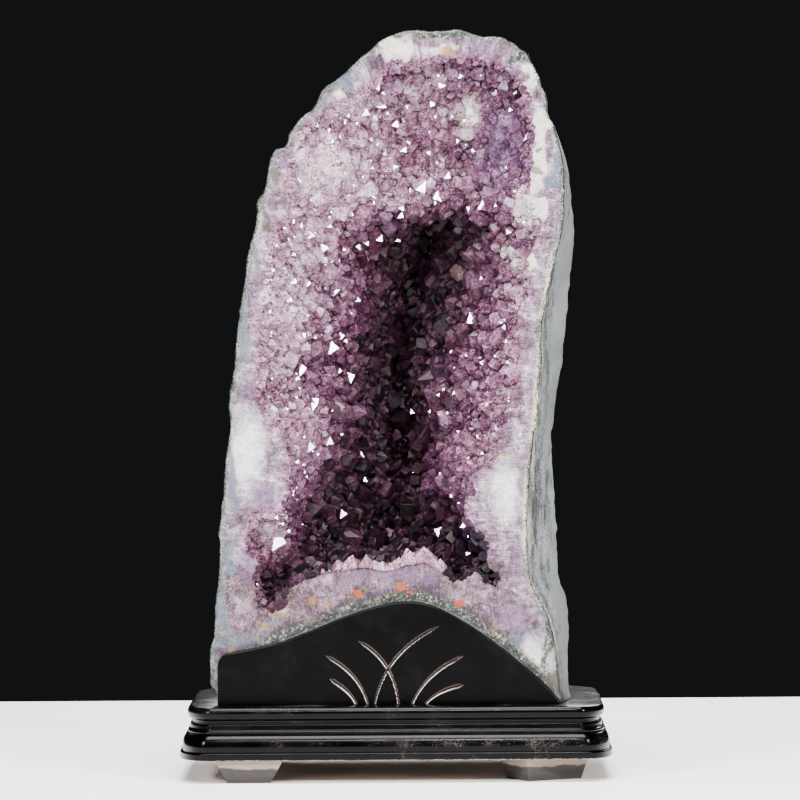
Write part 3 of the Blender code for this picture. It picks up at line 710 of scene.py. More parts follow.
# One crystal's form: a hexagonal prism of radius 1 whose tip is cut by six sloping faces. Every
# other face is cut lower by up to "uneven", which gives the usual three large faces.
def crystalForm(rng, ridge):
    bm = bmesh.new()
    bmesh.ops.create_cone(bm, cap_ends=True, segments=6, radius1=1.0, radius2=1.0, depth=5.0,
                          matrix=Matrix.Translation((0.0, 0.0, -0.5)))
    squeeze = rng.uniform(0.80, 1.0)
    bmesh.ops.scale(bm, vec=(1.0, squeeze, 1.0), verts=bm.verts)
    slope = math.radians(rng.uniform(46.0, 54.0))
    for number in range(6):
        turn = math.radians(30.0 + 60.0 * number)
        facing = Vector((math.cos(turn) * math.sin(slope), math.sin(turn) * math.sin(slope),
                         math.cos(slope)))
        height = 1.1 + (rng.uniform(0.0, 0.12) if number % 2 else rng.uniform(0.05, crystalLook["uneven"]))
        geometry = bm.verts[:] + bm.edges[:] + bm.faces[:]
        cut = bmesh.ops.bisect_plane(bm, geom=geometry, dist=1e-6, plane_co=(0.0, 0.0, height),
                                     plane_no=facing, clear_outer=True)
        edges = [item for item in cut["geom_cut"] if isinstance(item, bmesh.types.BMEdge)]
        if edges:
            bmesh.ops.contextual_create(bm, geom=edges)
    bmesh.ops.remove_doubles(bm, verts=bm.verts, dist=0.01)
    bmesh.ops.bisect_plane(bm, geom=bm.verts[:] + bm.edges[:] + bm.faces[:], dist=1e-6,
                           plane_co=(0.0, 0.0, -1.2), plane_no=(0.0, 0.0, -1.0), clear_outer=True)
    bmesh.ops.recalc_face_normals(bm, faces=bm.faces)
    if ridge > 0.0:
        sharp = [edge for edge in bm.edges if not edge.is_boundary
                 and min(vert.co.z for vert in edge.verts) > -0.9 and edge.calc_length() > 0.05]
        bmesh.ops.bevel(bm, geom=sharp, offset=ridge, segments=1, affect="EDGES", clamp_overlap=True)
        bmesh.ops.recalc_face_normals(bm, faces=bm.faces)
    bm.verts.index_update()
    form = {
        "points": np.array([vert.co for vert in bm.verts]),
        "faces": [[vert.index for vert in face.verts] for face in bm.faces],
        "ridges": [0.0 if face.calc_area() > 2.6 * ridge else 1.0 for face in bm.faces],
    }
    bm.free()
    return form


def brightForm(rng):  # a three-sided tip, one face of which is turned to a lamp
    points = [(rng.uniform(-0.2, 0.2), rng.uniform(-0.2, 0.2), rng.uniform(0.75, 1.30))]
    turns = [math.radians(120.0 * k) + rng.uniform(-0.35, 0.35) for k in range(3)]
    for height in (0.0, -1.2):
        points += [(math.cos(turn), math.sin(turn), height) for turn in turns]
    faces = [(0, 1, 2), (0, 2, 3), (0, 3, 1), (1, 4, 5, 2), (2, 5, 6, 3), (3, 6, 4, 1)]
    tip, first, second = (Vector(points[k]) for k in (0, 1, 2))
    normal = (first - tip).cross(second - tip).normalized()
    return {
        "points": np.array(points),
        "faces": [list(face) for face in faces],
        "ridges": [0.0] * len(faces),
        "glint": (normal, (tip + first + second) / 3.0),
    }


# The wall is sorted into cells as wide as the spacing, so only next cells are looked into.
nextCells = [(dx, dy, dz) for dx in (-1, 0, 1) for dy in (-1, 0, 1) for dz in (-1, 0, 1)]


def pickSites(spacing, taken, candidates):  # each site keeps its distance from those before it
    cells = {}

    def cellOf(place):
        return tuple(int(math.floor(part / spacing)) for part in place)

    def tooNear(place, cell):
        x, y, z = place
        for dx, dy, dz in nextCells:
            for ox, oy, oz in cells.get((cell[0] + dx, cell[1] + dy, cell[2] + dz), ()):
                if (ox - x) ** 2 + (oy - y) ** 2 + (oz - z) ** 2 < spacing ** 2:
                    return True
        return False

    for place in taken:
        cells.setdefault(cellOf(place), []).append(place)
    chosen = []
    for index, place in candidates:
        cell = cellOf(place)
        if not tooNear(place, cell):
            cells.setdefault(cell, []).append(place)
            chosen.append(index)
    return chosen


def wallSamples(rng, count):  # random places on the hollow's wall, even over its area, and its facing
    points, faces = makeHollowGrid(240, 100)
    triangles = np.array([face[:3] for face in faces]
                         + [(face[0], *face[2:]) for face in faces if len(face) == 4])
    corners = points[triangles]
    cross = np.cross(corners[:, 1] - corners[:, 0], corners[:, 2] - corners[:, 0])
    area = np.linalg.norm(cross, axis=1) / 2.0
    facing = cross / np.maximum(2.0 * area, 1e-12)[:, None]
    flip = np.einsum("ij,ij->i", facing, hollowMouth - corners.mean(axis=1)) < 0.0
    facing[flip] *= -1.0
    picked = rng.choice(len(area), size=count, p=area / area.sum())
    u, v = rng.random(count), rng.random(count)
    over = u + v > 1.0
    u[over], v[over] = 1.0 - u[over], 1.0 - v[over]
    a, b, c = corners[picked, 0], corners[picked, 1], corners[picked, 2]
    return a + (b - a) * u[:, None] + (c - a) * v[:, None], facing[picked]


# How light the crystals are, read from the view, with the cleft's shade painted into their colour. The
# dark
# cleft, painted shade: height in the view, its middle and half its width there.
cleftShadow = [
    (196, 446, 4), (222, 444, 30), (240, 436, 38), (260, 428, 40), (300, 416, 38), (340, 402, 38),
    (380, 398, 34), (420, 394, 31), (450, 388, 33), (480, 372, 40), (510, 378, 58), (540, 388, 78),
    (575, 388, 92), (600, 388, 60),
]
# Light of the crystals at each height, left of the cleft and right of it, and how soon it is reached;
# partly their own tone, partly painted light.
sideLight = [
    (50, 0.62, 0.50), (100, 0.62, 0.48), (150, 0.70, 0.44), (200, 0.66, 0.54), (240, 0.76, 0.60),
    (300, 0.84, 0.60), (360, 0.68, 0.58), (430, 0.66, 0.60), (470, 0.66, 0.56), (520, 0.72, 0.48),
    (560, 0.58, 0.42), (620, 0.46, 0.52),
]
lightReach = {"left": 95.0, "right": 80.0}
shadowTone = 0.07
# Zones that differ from the rest: how much paler, lower, warmer and cooler the crystals are there.
crystalZones = [
    {"at": (322, 172), "size": (32, 36), "pale": 0.24, "low": 0.85, "warm": 0.1},
    {"at": (362, 192), "size": (9, 8), "pale": 0.50},
    {"at": (503, 150), "size": (27, 48), "pale": 0.04, "low": 0.75, "warm": -0.2, "cool": 0.85},
    {"at": (470, 116), "size": (10, 22), "pale": 0.34, "low": 0.3, "cool": -1.0},
    {"at": (304, 456), "size": (30, 44), "pale": 0.14, "low": 0.7},
    {"at": (288, 500), "size": (40, 12), "pale": 0.04, "low": 0.6, "warm": -0.3, "cool": 0.3},
    {"at": (508, 250), "size": (11, 6), "pale": 0.70, "low": 0.2, "cool": -0.7},
    {"at": (513, 293), "size": (5, 5), "pale": 0.40, "low": 0.2, "cool": -0.4},
    {"at": (520, 262), "size": (10, 10), "pale": 0.20, "low": 0.2, "cool": -0.4},
    {"at": (526, 210), "size": (12, 17), "pale": 1.05, "low": 0.9, "cool": -0.8},
    {"at": (274, 532), "size": (20, 28), "pale": 0.38, "low": 0.1, "warm": 0.2},
    {"at": (298, 264), "size": (6, 5), "pale": 0.60, "cool": -0.4},
    {"at": (409, 90), "size": (5, 5), "pale": 0.70, "cool": -0.6},
    {"at": (290, 318), "size": (9, 9), "pale": 0.18},
    {"at": (294, 344), "size": (10, 10), "pale": 0.16},
    # this zone paints a shadow on the crystals: painted shade
    {"at": (424, 148), "size": (20, 26), "pale": -0.22, "warm": 0.3},
    {"at": (368, 250), "size": (30, 22), "pale": -0.10, "warm": 0.4},
    {"at": (352, 100), "size": (20, 22), "pale": 0.18, "low": 0.5, "warm": 0.2},
    {"at": (275, 592), "size": (16, 20), "pale": -0.26, "warm": 0.1},
    {"at": (488, 576), "size": (9, 9), "pale": -0.20, "warm": 0.3},
    {"at": (474, 540), "size": (22, 28), "pale": -0.03, "warm": -0.3, "cool": 0.7},
    {"at": (500, 500), "size": (18, 34), "pale": 0.16, "low": 0.7},
    {"at": (448, 470), "size": (22, 22), "pale": 0.08, "cool": 0.1},
]


def zoneValues(across, down):
    values = {name: np.zeros(len(across)) for name in ("pale", "low", "warm", "cool")}
    for zone in crystalZones:
        u = (across - zone["at"][0]) / zone["size"][0]
        v = (down - zone["at"][1]) / zone["size"][1]
        near = np.exp(-(u ** 2 + v ** 2) ** 1.5)
        for name in values:
            values[name] += near * zone.get(name, 0.0)
    return values


def crystalToneAndShade(points):  # tone from 0, nearly black, to 1, nearly white, with the cleft's painted shade in it
    across, down = viewOf(points)
    heights, middles, halves = np.array(cleftShadow, dtype=float).T
    middle, half = np.interp(down, heights, middles), np.interp(down, heights, halves)
    lightHeights, lightLeft, lightRight = np.array(sideLight).T
    onLeft = across < middle
    light = np.where(onLeft, np.interp(down, lightHeights, lightLeft),
                     np.interp(down, lightHeights, lightRight))
    reach = np.where(onLeft, lightReach["left"], lightReach["right"])
    dark = shadowTone + (light - shadowTone) * (1.0 - fade(down, heights[0], heights[1]))
    away = np.clip((np.abs(across - middle) - half + 6.0) / reach, 0.0, 1.0)
    return dark + (light - dark) * away ** 0.8


def merged(name, stones):  # one mesh from many crystals, each with its own tone
    points, faces, ridges = [], [], []
    own = {"pale": [], "warm": [], "cool": [], "bright": [], "tip": []}
    base = 0
    for stone in stones:
        form = stone["form"]
        count = len(form["points"])
        local = form["points"] * np.array([stone["size"], stone["size"], stone["height"]])
        world = local @ np.array(stone["turn"]).T + stone["place"]
        # the cut face ends each crystal, a little deeper or less deep from one to the next
        front = faceY + crystalLook["behindCut"] * (1.0 + 2.0 * ((base * 7919) % 97) / 97.0)
        world[:, 1] = np.maximum(world[:, 1], front)
        points.append(world)
        faces += [[base + index for index in face] for face in form["faces"]]
        ridges += form["ridges"]
        for title in ("pale", "warm", "cool", "bright"):
            own[title] += [stone.get(title, 0.0)] * count
        own["tip"] += list(np.clip(form["points"][:, 2] / 1.3, -1.0, 1.0))
        base += count
    crystals = meshObject(name, np.vstack(points), faces)
    for title, values in own.items():
        setValues(crystals, title, values)
    setValues(crystals, "ridge", ridges, "FACE")
    return crystals


def uprightTurn(axis, spin):  # stands a form up along an axis and spins it round that
    return axis.to_track_quat("Z", "Y").to_matrix() @ Matrix.Rotation(spin, 3, "Z")


def crystalFinish(draw, places, toRim):  # tone with the cleft's painted shade, warmth and coolness of each crystal
    zones = zoneValues(*viewOf(places))
    count = len(places)
    pale = crystalToneAndShade(places) - 0.05 * (1.0 - fade(toRim, 0.002, 0.012)) + zones["pale"]
    pale += draw.normal(0.0, 0.075, count)
    warm = np.clip(0.45 + draw.normal(0.0, 0.30, count) + zones["warm"], 0.0, 1.0)
    cool = zones["cool"] + draw.normal(0.0, 0.10, count)
    return pale, warm, cool, np.clip(zones["low"], 0.0, 0.85)


def makeCrystals(name, sites, radius, ridge, firstSeed):
    draw = np.random.default_rng(firstSeed)
    forms = [crystalForm(draw, ridge) for _ in range(crystalLook["shapes"])]
    places, facing = wallPlaces[sites], wallFacing[sites]
    count = len(sites)
    toRim = nearestDistance(places[:, [0, 2]], hollowLoop)
    pale, warm, cool, low = crystalFinish(draw, places, toRim)
    # the axis: between the wall's own facing and the way out, leaning at random
    towards = hollowMouth - places
    towards[:, 2] = hollowMouth[2] + 0.7 * (places[:, 2] - hollowMouth[2]) - places[:, 2]
    towards /= np.linalg.norm(towards, axis=1)[:, None]
    axes = facing * 0.50 + towards * 0.35 + np.array([0.0, -0.25, 0.0])
    axes += draw.normal(0.0, crystalLook["lean"], (count, 3))
    axes /= np.linalg.norm(axes, axis=1)[:, None]
    sizes = radius * np.minimum(draw.lognormal(0.0, 0.34, count), 1.9)
    sizes = sizes * (0.75 + 0.25 * fade(toRim, 0.0, 0.02))
    heights = sizes * crystalLook["height"] * draw.uniform(0.75, 1.35, count) * (1.0 - low)
    sink = heights * (0.30 + 0.5 * low)
    which = draw.integers(0, len(forms), count)
    spins = draw.uniform(0.0, 2.0 * math.pi, count)
    stones = []
    for k in range(count):
        stones.append({
            "form": forms[which[k]], "turn": uprightTurn(Vector(axes[k]), spins[k]),
            "size": sizes[k], "height": heights[k],
            "place": places[k] + axes[k] * (heights[k] - sink[k]) * 0.25,
            "pale": pale[k], "warm": warm[k], "cool": cool[k],
        })
    return merged(name, stones)


# Facets that catch the light: place in the view and how wide the bright facet is there.
glints = [
    (394, 70, 7), (382, 104, 10), (396, 124, 9), (366, 113, 6), (441, 85, 7), (402, 208, 6),
    (351, 214, 6), (300, 226, 7), (311, 235, 6), (288, 238, 5), (324, 248, 7), (317, 258, 7),
    (294, 282, 6), (307, 283, 9), (273, 270, 5), (380, 239, 6), (398, 240, 5), (336, 291, 6),
    (342, 336, 5), (333, 348, 10), (351, 377, 8), (302, 369, 9), (276, 373, 6), (296, 378, 9),
    (316, 401, 7), (314, 406, 6), (267, 397, 5), (412, 412, 5), (422, 188, 11), (437, 197, 8),
    (470, 211, 8), (483, 207, 9), (527, 138, 6), (471, 320, 10), (466, 325, 7), (497, 355, 7),
    (483, 363, 7), (502, 371, 6), (514, 356, 5), (488, 394, 7), (480, 409, 6), (504, 327, 5),
    (479, 436, 7), (442, 450, 7), (438, 531, 7), (463, 526, 5), (468, 554, 5), (311, 447, 9),
    (330, 442, 6), (360, 455, 9), (365, 480, 6), (386, 480, 10), (343, 514, 8), (278, 541, 15),
    (300, 524, 7), (302, 581, 7), (260, 611, 6), (266, 612, 5), (401, 216, 5), (340, 371, 4),
    (508, 232, 5), (456, 230, 4), (425, 428, 4), (358, 300, 5), (290, 300, 5), (330, 226, 5),
    (452, 352, 4), (492, 300, 5), (516, 410, 5), (286, 410, 6), (378, 88, 5), (460, 76, 5), (432, 104, 5),
    (404, 150, 6), (370, 160, 5), (448, 176, 6), (338, 262, 5),
]


glintLook = {
    "shapes": 16,
    "turns": 24,
    "smallest": 0.66,  # of the width given for each
    "largest": 0.86,
    "paler": 0.10,
    "standOff": 0.0085,
    "sparkStandOff": -0.0003,
    "sparkWidths": (1.7, 4.0),
}
glintLamps = [Vector(lamp["place"]) for lamp in studioLook["lamps"] if lamp["glints"]]


def joinedTree(carriers):  # all faces of some pieces, to be met by rays
    points, faces = [], []
    for carrier in carriers:
        faces += [tuple(len(points) + index for index in face.vertices) for face in carrier.data.polygons]
        points += [Vector(vert.co) for vert in carrier.data.vertices]
    return BVHTree.FromPolygons(points, faces)


def turnToLamp(draw, wall, spot, facing, normal):
    # the most upright turn that shows a lamp the facet, or None where the wall shades them all
    best = None
    for lamp in glintLamps:
        toLamp = (lamp - spot).normalized()
        if wall.ray_cast(spot + facing * 0.002, toLamp, 0.5)[0] is not None:
            continue
        halfWay = (toLamp + (cameraPlace - spot).normalized()).normalized()
        first = Vector(normal).rotation_difference(halfWay).to_matrix()
        for step in range(glintLook["turns"]):
            turn = Matrix.Rotation(math.radians(360.0 / glintLook["turns"] * step), 3, halfWay) @ first
            upright = (turn @ Vector((0.0, 0.0, 1.0))).dot(facing) + draw.uniform(0.0, 0.15)
            if best is None or upright > best[0]:
                best = upright, turn
    return best[1] if best else None


def makeGlints(name, firstSeed, spots, carriers, standOff):
    draw = np.random.default_rng(firstSeed)
    forms = [brightForm(draw) for _ in range(glintLook["shapes"])]
    wall = joinedTree(carriers)
    stones, places = [], []
    for across, down, width in spots:
        ray = rayAt(across, down)
        place, facing, _, _ = wall.ray_cast(cameraPlace, ray)
        if place is None:
            continue
        if facing.dot(ray) > 0.0:
            facing = -facing
        size = width / facePixelsPerMetre * draw.uniform(glintLook["smallest"], glintLook["largest"])
        form = forms[draw.integers(0, len(forms))]
        normal, middle = form["glint"]
        spot = place - ray * (size * 0.8 + standOff)
        turn = turnToLamp(draw, wall, spot, facing, normal)
        if turn is None:
            continue
        stones.append({"form": form, "turn": turn, "size": size, "height": size,
                       "place": np.array(spot - turn @ (Vector(middle) * size))})
        places.append(place)
    places = np.array(places)
    pale, warm, cool, _ = crystalFinish(draw, places, np.full(len(places), 1.0))
    pale = pale + glintLook["paler"]
    for number, stone in enumerate(stones):
        stone.update(pale=pale[number], warm=warm[number], cool=cool[number], bright=1.0)
    print(name + ":", len(stones), "of", len(spots))
    return merged(name, stones), places


# Crystals that stand up along the lower rim: place of the tip in the view and width.
peaks = [
    (297, 590, 9), (308, 577, 11), (322, 568, 14), (330, 569, 10), (338, 559, 14), (346, 562, 11),
    (353, 555, 14), (366, 554, 15), (374, 560, 12), (382, 561, 12), (390, 562, 11), (399, 557, 11),
    (407, 548, 13), (414, 552, 10), (424, 546, 17), (433, 556, 12), (440, 558, 9), (447, 574, 12),
    (456, 579, 10), (464, 578, 9), (471, 574, 12), (480, 577, 10), (489, 586, 8),
]


peakLook = {
    "shapes": 10,
    "ridge": 0.06,
    "widthShare": 0.72,
    "rows": 2,
}


def makePeaks(name, firstSeed):
    draw = np.random.default_rng(firstSeed)
    forms = [crystalForm(draw, peakLook["ridge"]) for _ in range(peakLook["shapes"])]
    stones = []
    for across, down, width in peaks:
        for row in range(peakLook["rows"]):
            x, z = faceAt(across + row * draw.uniform(-7.0, 7.0), down + row * draw.uniform(2.0, 7.0))
            size = peakLook["widthShare"] * width / facePixelsPerMetre * (1.0 - 0.15 * row)
            height = size * draw.uniform(1.15, 1.45)
            axis = Vector((draw.normal(0.0, 0.16), -0.16 + draw.normal(0.0, 0.10), 1.0)).normalized()
            turn = uprightTurn(axis, draw.uniform(0.0, 6.28))
            tip = np.array([x, faceY + size * (0.95 + 1.5 * row), z])
            stones.append({
                "form": forms[draw.integers(0, len(forms))], "turn": turn, "size": size, "height": height,
                "place": tip - np.array(axis) * height * 1.2,
                "pale": draw.normal(0.66 - 0.16 * row, 0.05), "warm": draw.uniform(0.5, 1.0),
                "cool": draw.normal(-0.05, 0.08),
            })
    return merged(name, stones)


glintCrystals, glintPlaces = makeGlints("bright_crystals", 31, glints, [crystalBed], glintLook["standOff"])
peakCrystals = makePeaks("rim_peaks", 33)
rng = np.random.default_rng(crystalLook["seed"])
wallPlaces, wallFacing = wallSamples(rng, crystalLook["candidates"])
underPeaks = viewOf(wallPlaces)
peakLine = np.interp(underPeaks[0], [peak[0] for peak in peaks], [peak[1] for peak in peaks], 900.0, 900.0)
free = (underPeaks[1] < peakLine + 3.0) | (wallPlaces[:, 1] > faceY + crystalLook["peakDepth"])
order = [(k, tuple(wallPlaces[k])) for k in np.flatnonzero(free)]
taken = [tuple(place) for place in glintPlaces]
bigSites = pickSites(crystalLook["spacing"], taken, order)
taken += [tuple(wallPlaces[k]) for k in bigSites]
smallSites = pickSites(crystalLook["smallSpacing"], taken, order)
print("crystal sites:", len(bigSites), "large,", len(smallSites), "small")

wallToneAndShade = crystalToneAndShade(wallPlaces)
crystalPieces = {}
large = bigSites, crystalLook["radius"], crystalLook["ridge"]
small = smallSites, crystalLook["smallRadius"], crystalLook["smallRidge"]
# Crystals darker than the shaded tone lie in the cleft's painted shade; the deep pieces wear the shaded
# copy of the amethyst.
for title, (sites, radius, ridge), isDeep, seed in (
        ("large_crystals", large, False, 21), ("small_crystals", small, False, 22),
        ("deep_crystals", large, True, 23), ("deep_small_crystals", small, True, 24)):
    here = [k for k in sites if (wallToneAndShade[k] < crystalLook["deepTone"]) == isDeep]
    crystalPieces[title] = makeCrystals(title, here, radius, ridge, seed)
    print(title + ":", len(here), "crystals")
lit = wallPlaces[wallToneAndShade + rng.normal(0.0, 0.10, len(wallPlaces)) > 0.30][:crystalLook["sparks"]]
sparkSpots = [(across, down, rng.uniform(*glintLook["sparkWidths"])) for across, down in zip(*viewOf(lit))]
sparkCrystals, _ = makeGlints("spark_crystals", 35, sparkSpots, crystalPieces.values(),
                              glintLook["sparkStandOff"])


# Crystal material: translucent quartz from near white at the rim to deep plum in the cleft, darkened there
# by painted shade. The noises are given by scale, detail, roughness and distortion, colours by their parts
# of 255.
quartzLook = {
    "veils": (210.0, 6.0, 0.72, 1.0),
    "fine": (700.0, 3.0, 0.65),
    "haze": (62.0, 5.0, 0.6, 0.8),
    "veilSwing": 1.15,
    "fineSwing": 0.80,
    "hazeSwing": 0.55,
    "ridgeHighlight": 0.07,
    "tipHighlight": 0.05,
    "rosiness": 0.60,
    "ironSpecks": (430.0, 2.0, 0.5),
    "ironColour": (70, 24, 40),
    "shine": 0.26,
    "shadedShine": 0.045,  # a shaded copy: less shine for the crystals in the cleft's painted shade
}
quartzColours = {
    "plain": [(0.0, 13, 6, 12), (0.25, 60, 36, 54), (0.50, 112, 78, 104), (0.75, 178, 136, 164),
              (1.0, 240, 216, 232)],
    "rosy": [(0.0, 16, 6, 9), (0.25, 72, 38, 50), (0.50, 128, 84, 102), (0.75, 192, 148, 164),
             (1.0, 242, 222, 228)],
    "blue": [(0.0, 12, 8, 18), (0.25, 54, 34, 60), (0.50, 100, 66, 102), (0.75, 150, 112, 150),
             (1.0, 226, 210, 232)],
    "cream": [(0.0, 60, 46, 38), (0.40, 176, 160, 144), (0.70, 238, 230, 220)],
}


def makeCrystalMaterial(name, shine):
    look = quartzLook
    material, tree, shader = newMaterial(name)
    place = placeOf(tree)
    pale, warm, cool, ridge, tip, bright = (
        meshValue(tree, title) for title in ("pale", "warm", "cool", "ridge", "tip", "bright"))
    veils, fine, haze = (cloud(tree, place, *look[title]) for title in ("veils", "fine", "haze"))
    swing = total(tree, around(tree, veils, look["veilSwing"]), around(tree, fine, look["fineSwing"]),
                  around(tree, haze, look["hazeSwing"]))
    calm = times(tree, spread(tree, pale, 0.05, 0.40, 0.75, 1.0),
                 spread(tree, cool, -0.7, -0.2, 0.35, 1.0))
    # the bevelled ridges and the tips are painted lighter: painted highlights
    tone = total(tree, pale, times(tree, swing, calm), times(tree, ridge, look["ridgeHighlight"]),
                 times(tree, tip, look["tipHighlight"]))
    colours = {title: colourSteps(tree, tone, stops) for title, stops in quartzColours.items()}
    colour = mixColours(tree, times(tree, warm, look["rosiness"]), colours["plain"], colours["rosy"])
    colour = mixColours(tree, spread(tree, cool, 0.1, 0.9), colour, colours["blue"])
    colour = mixColours(tree, spread(tree, cool, -0.1, -0.8), colour, colours["cream"])
    # dark red specks of iron ore grown into the quartz
    thick = spread(tree, cloud(tree, place, 55.0, 3.0), 0.34, 0.56, 0.25, 1.0)
    specks = spread(tree, cloud(tree, place, *look["ironSpecks"]), 0.555, 0.62)
    specks = times(tree, specks, thick, spread(tree, pale, 0.05, 0.35, 0.0, 0.90))
    colour = mixColours(tree, specks, colour, srgb(*look["ironColour"]))
    roughness = total(tree, spread(tree, veils, 0.3, 0.8, 0.08, 0.20),
                      spread(tree, pale, 0.46, 0.20, 0.0, 0.30), times(tree, bright, -0.6))
    relief = times(tree, fine, calc(tree, "SUBTRACT", 1.0, bright))
    finish(tree, shader, colour, roughness, relief, 0.12, 0.0006, IOR=1.544, Transmission_Weight=0.30,
           Specular_IOR_Level=shine, Subsurface_Weight=0.35, Subsurface_Scale=0.004,
           Subsurface_Radius=(1.0, 0.6, 0.9))
    return material


amethyst = makeCrystalMaterial("amethyst", quartzLook["shine"])
# a shaded copy of the amethyst, with less shine, for the crystals in the cleft's painted shade
shadedAmethyst = makeCrystalMaterial("shadedAmethyst", quartzLook["shadedShine"])


def wear(thing, material, slot, *replaced):
    thing.data.materials.clear()
    thing.data.materials.append(material)
    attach(thing, "root")
    if replaced:
        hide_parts(*replaced)


# The bed takes the crystals' tone, the cleft's painted shade in it, and is paler near the rim.
bedPoints = np.array([vert.co for vert in crystalBed.data.vertices])
bedToRim = nearestDistance(bedPoints[:, [0, 2]], hollowLoop)
bedZones = zoneValues(*viewOf(bedPoints))
bedToneAndShade = crystalToneAndShade(bedPoints) - 0.04 + 0.12 * (1.0 - fade(bedToRim, 0.0, 0.014)) + bedZones["pale"]
setValues(crystalBed, "pale", bedToneAndShade)
setValues(crystalBed, "warm", 0.6 + bedZones["warm"])
setValues(crystalBed, "cool", bedZones["cool"])
wear(crystalBed, amethyst, "crystal", "amethyst_crust")
for piece in (glintCrystals, peakCrystals, sparkCrystals):
    wear(piece, amethyst, "crystal")
for title, piece in crystalPieces.items():
    wear(piece, shadedAmethyst if title.startswith("deep") else amethyst, "crystal")

# Patches of mineral on the cut face, by their place in the view: kind, middle, half sizes, turn in
# degrees and strength.
rimPatches = [
    ("milk", (246, 448), (19, 42), 0, 0.86), ("milk", (505, 492), (15, 31), 0, 0.86),
    ("milk", (512, 240), (12, 20), 0, 0.7), ("milk", (534, 655), (20, 22), -35, 0.9),
    ("cream", (396, 50), (24, 14), -10, 1.0), ("cream", (532, 73), (9, 11), 30, 0.9),
    ("cream", (542, 124), (11, 18), -12, 1.0), ("cream", (536, 209), (15, 15), 0, 1.2),
    ("cream", (530, 262), (9, 9), 0, 0.9), ("cream", (340, 96), (16, 6), -40, 0.5),
    ("cream", (262, 640), (20, 9), -15, 0.4),
    ("olive", (276, 174), (7, 9), 15, 0.8), ("olive", (266, 214), (5, 24), 10, 0.7),
    ("olive", (536, 172), (8, 6), 0, 0.8), ("olive", (558, 681), (9, 12), 0, 1.0),
    ("olive", (526, 56), (7, 5), 40, 0.7), ("cream", (538, 166), (9, 32), -8, 0.8),
    ("cream", (526, 92), (8, 20), -30, 0.7), ("cream", (440, 50), (34, 8), 0, 0.55),
    ("agate", (551, 183), (9, 8), 0, 1.0), ("agate", (557, 162), (4, 18), 0, 0.9),
    ("agate", (226, 622), (8, 20), 5, 0.9), ("agate", (233, 480), (5, 52), 4, 1.0),
    ("agate", (243, 330), (7, 38), 8, 1.1), ("agate", (256, 262), (5, 24), 10, 0.8),
    ("agate", (342, 79), (15, 11), -40, 1.0), ("agate", (512, 645), (24, 11), 45, 0.9),
    ("agate", (240, 655), (20, 7), 0, 0.7), ("agate", (230, 560), (6, 30), 0, 1.0),
    ("rust", (448, 53), (9, 6), 0, 1.0), ("rust", (310, 600), (7, 6), 0, 0.9),
    ("rust", (278, 612), (18, 7), -20, 0.6), ("rust", (235, 521), (4, 4), 0, 1.0),
    ("rust", (232, 648), (5, 3), 0, 0.9), ("rust", (264, 628), (7, 4), 0, 0.8),
    ("rust", (330, 606), (12, 5), -20, 0.7), ("rust", (505, 454), (8, 3), 0, 0.7),
    ("rust", (485, 543), (5, 6), 20, 0.8), ("rust", (505, 628), (9, 3), 45, 0.7),
    ("darkRind", (462, 33), (52, 5), 3, 1.0), ("darkRind", (520, 54), (20, 5), 42, 0.9),
    ("darkDots", (541, 150), (3.0, 2.4), 0, 1.4), ("darkDots", (531, 164), (2.4, 2.2), 0, 1.4),
    ("darkDots", (262, 650), (1.6, 1.6), 0, 1.2),
    ("orange", (358, 594), (6.5, 4.5), -20, 1.5), ("orange", (402, 588), (5.2, 4.2), 0, 1.5),
    ("orange", (410, 594), (4.6, 4.4), 0, 1.5), ("orange", (459, 603), (4.4, 2.6), 0, 1.4),
    ("lilac", (252, 560), (14, 40), 0, 0.6), ("lilac", (514, 617), (17, 15), 0, 1.0),
    ("lilac", (520, 560), (14, 30), 0, 0.5), ("lilac", (300, 165), (20, 30), 0, 0.7),
    ("lilac", (262, 290), (12, 60), 5, 0.5), ("lilac", (250, 400), (12, 30), 5, 0.5),
    ("agate", (238, 641), (30, 9), 8, 1.0), ("agate", (221, 612), (8, 26), 0, 0.9),
    ("agate", (300, 634), (34, 8), 22, 0.6), ("darkRind", (549, 640), (6, 42), -15, 0.9),
    ("lilac", (400, 576), (100, 9), 0, 0.6), ("lilac", (526, 350), (8, 90), 0, 0.3),
    ("lilac", (262, 500), (22, 24), 0, 0.7), ("lilac", (484, 52), (26, 9), 0, 0.6),
    ("tan", (549, 300), (12, 60), 5, 1.0), ("tan", (533, 400), (12, 70), 4, 1.0),
    ("tan", (523, 520), (12, 70), 2, 1.0), ("tan", (548, 650), (14, 26), -30, 0.8),
    ("tan", (260, 230), (8, 40), 10, 0.4),
]


patchWander = {"wave": 0.014, "amount": 0.0055}  # metres, keeps the patches from being ovals


def patchMasks(flat):
    masks = {}
    spots = np.column_stack([flat[:, 0], np.zeros(len(flat)), flat[:, 1]])
    shift = np.column_stack([noiseAt(spots, patchWander["wave"], seed, 4) for seed in (5.0, 9.0)])
    flat = flat + patchWander["amount"] * shift
    for kind, at, (halfWidth, halfHeight), turn, strength in rimPatches:
        cx, cz = faceAt(*at)
        dx, dz = flat[:, 0] - cx, flat[:, 1] - cz
        angle = math.radians(turn)
        u = (dx * math.cos(angle) + dz * math.sin(angle)) * facePixelsPerMetre / halfWidth
        v = (-dx * math.sin(angle) + dz * math.cos(angle)) * facePixelsPerMetre / halfHeight
        near = strength * (1.0 - fade(np.hypot(u, v), 0.2, 1.5))
        masks[kind] = np.maximum(masks.get(kind, 0.0), near)
    return masks


rimMasks = patchMasks(rimFlat)
archDistance = nearestDistance(rimFlat, archLoop)
rimMasks["archBand"] = 1.0 - fade(archDistance, 0.004, 0.026)
rimMasks["archEdge"] = 1.0 - fade(archDistance, 0.003, 0.013)
rimMasks["fromOutside"] = rimFromOutside
rimMasks["toCrystals"] = rimToCrystals
for title, values in rimMasks.items():
    setValues(rimFace, title, values)


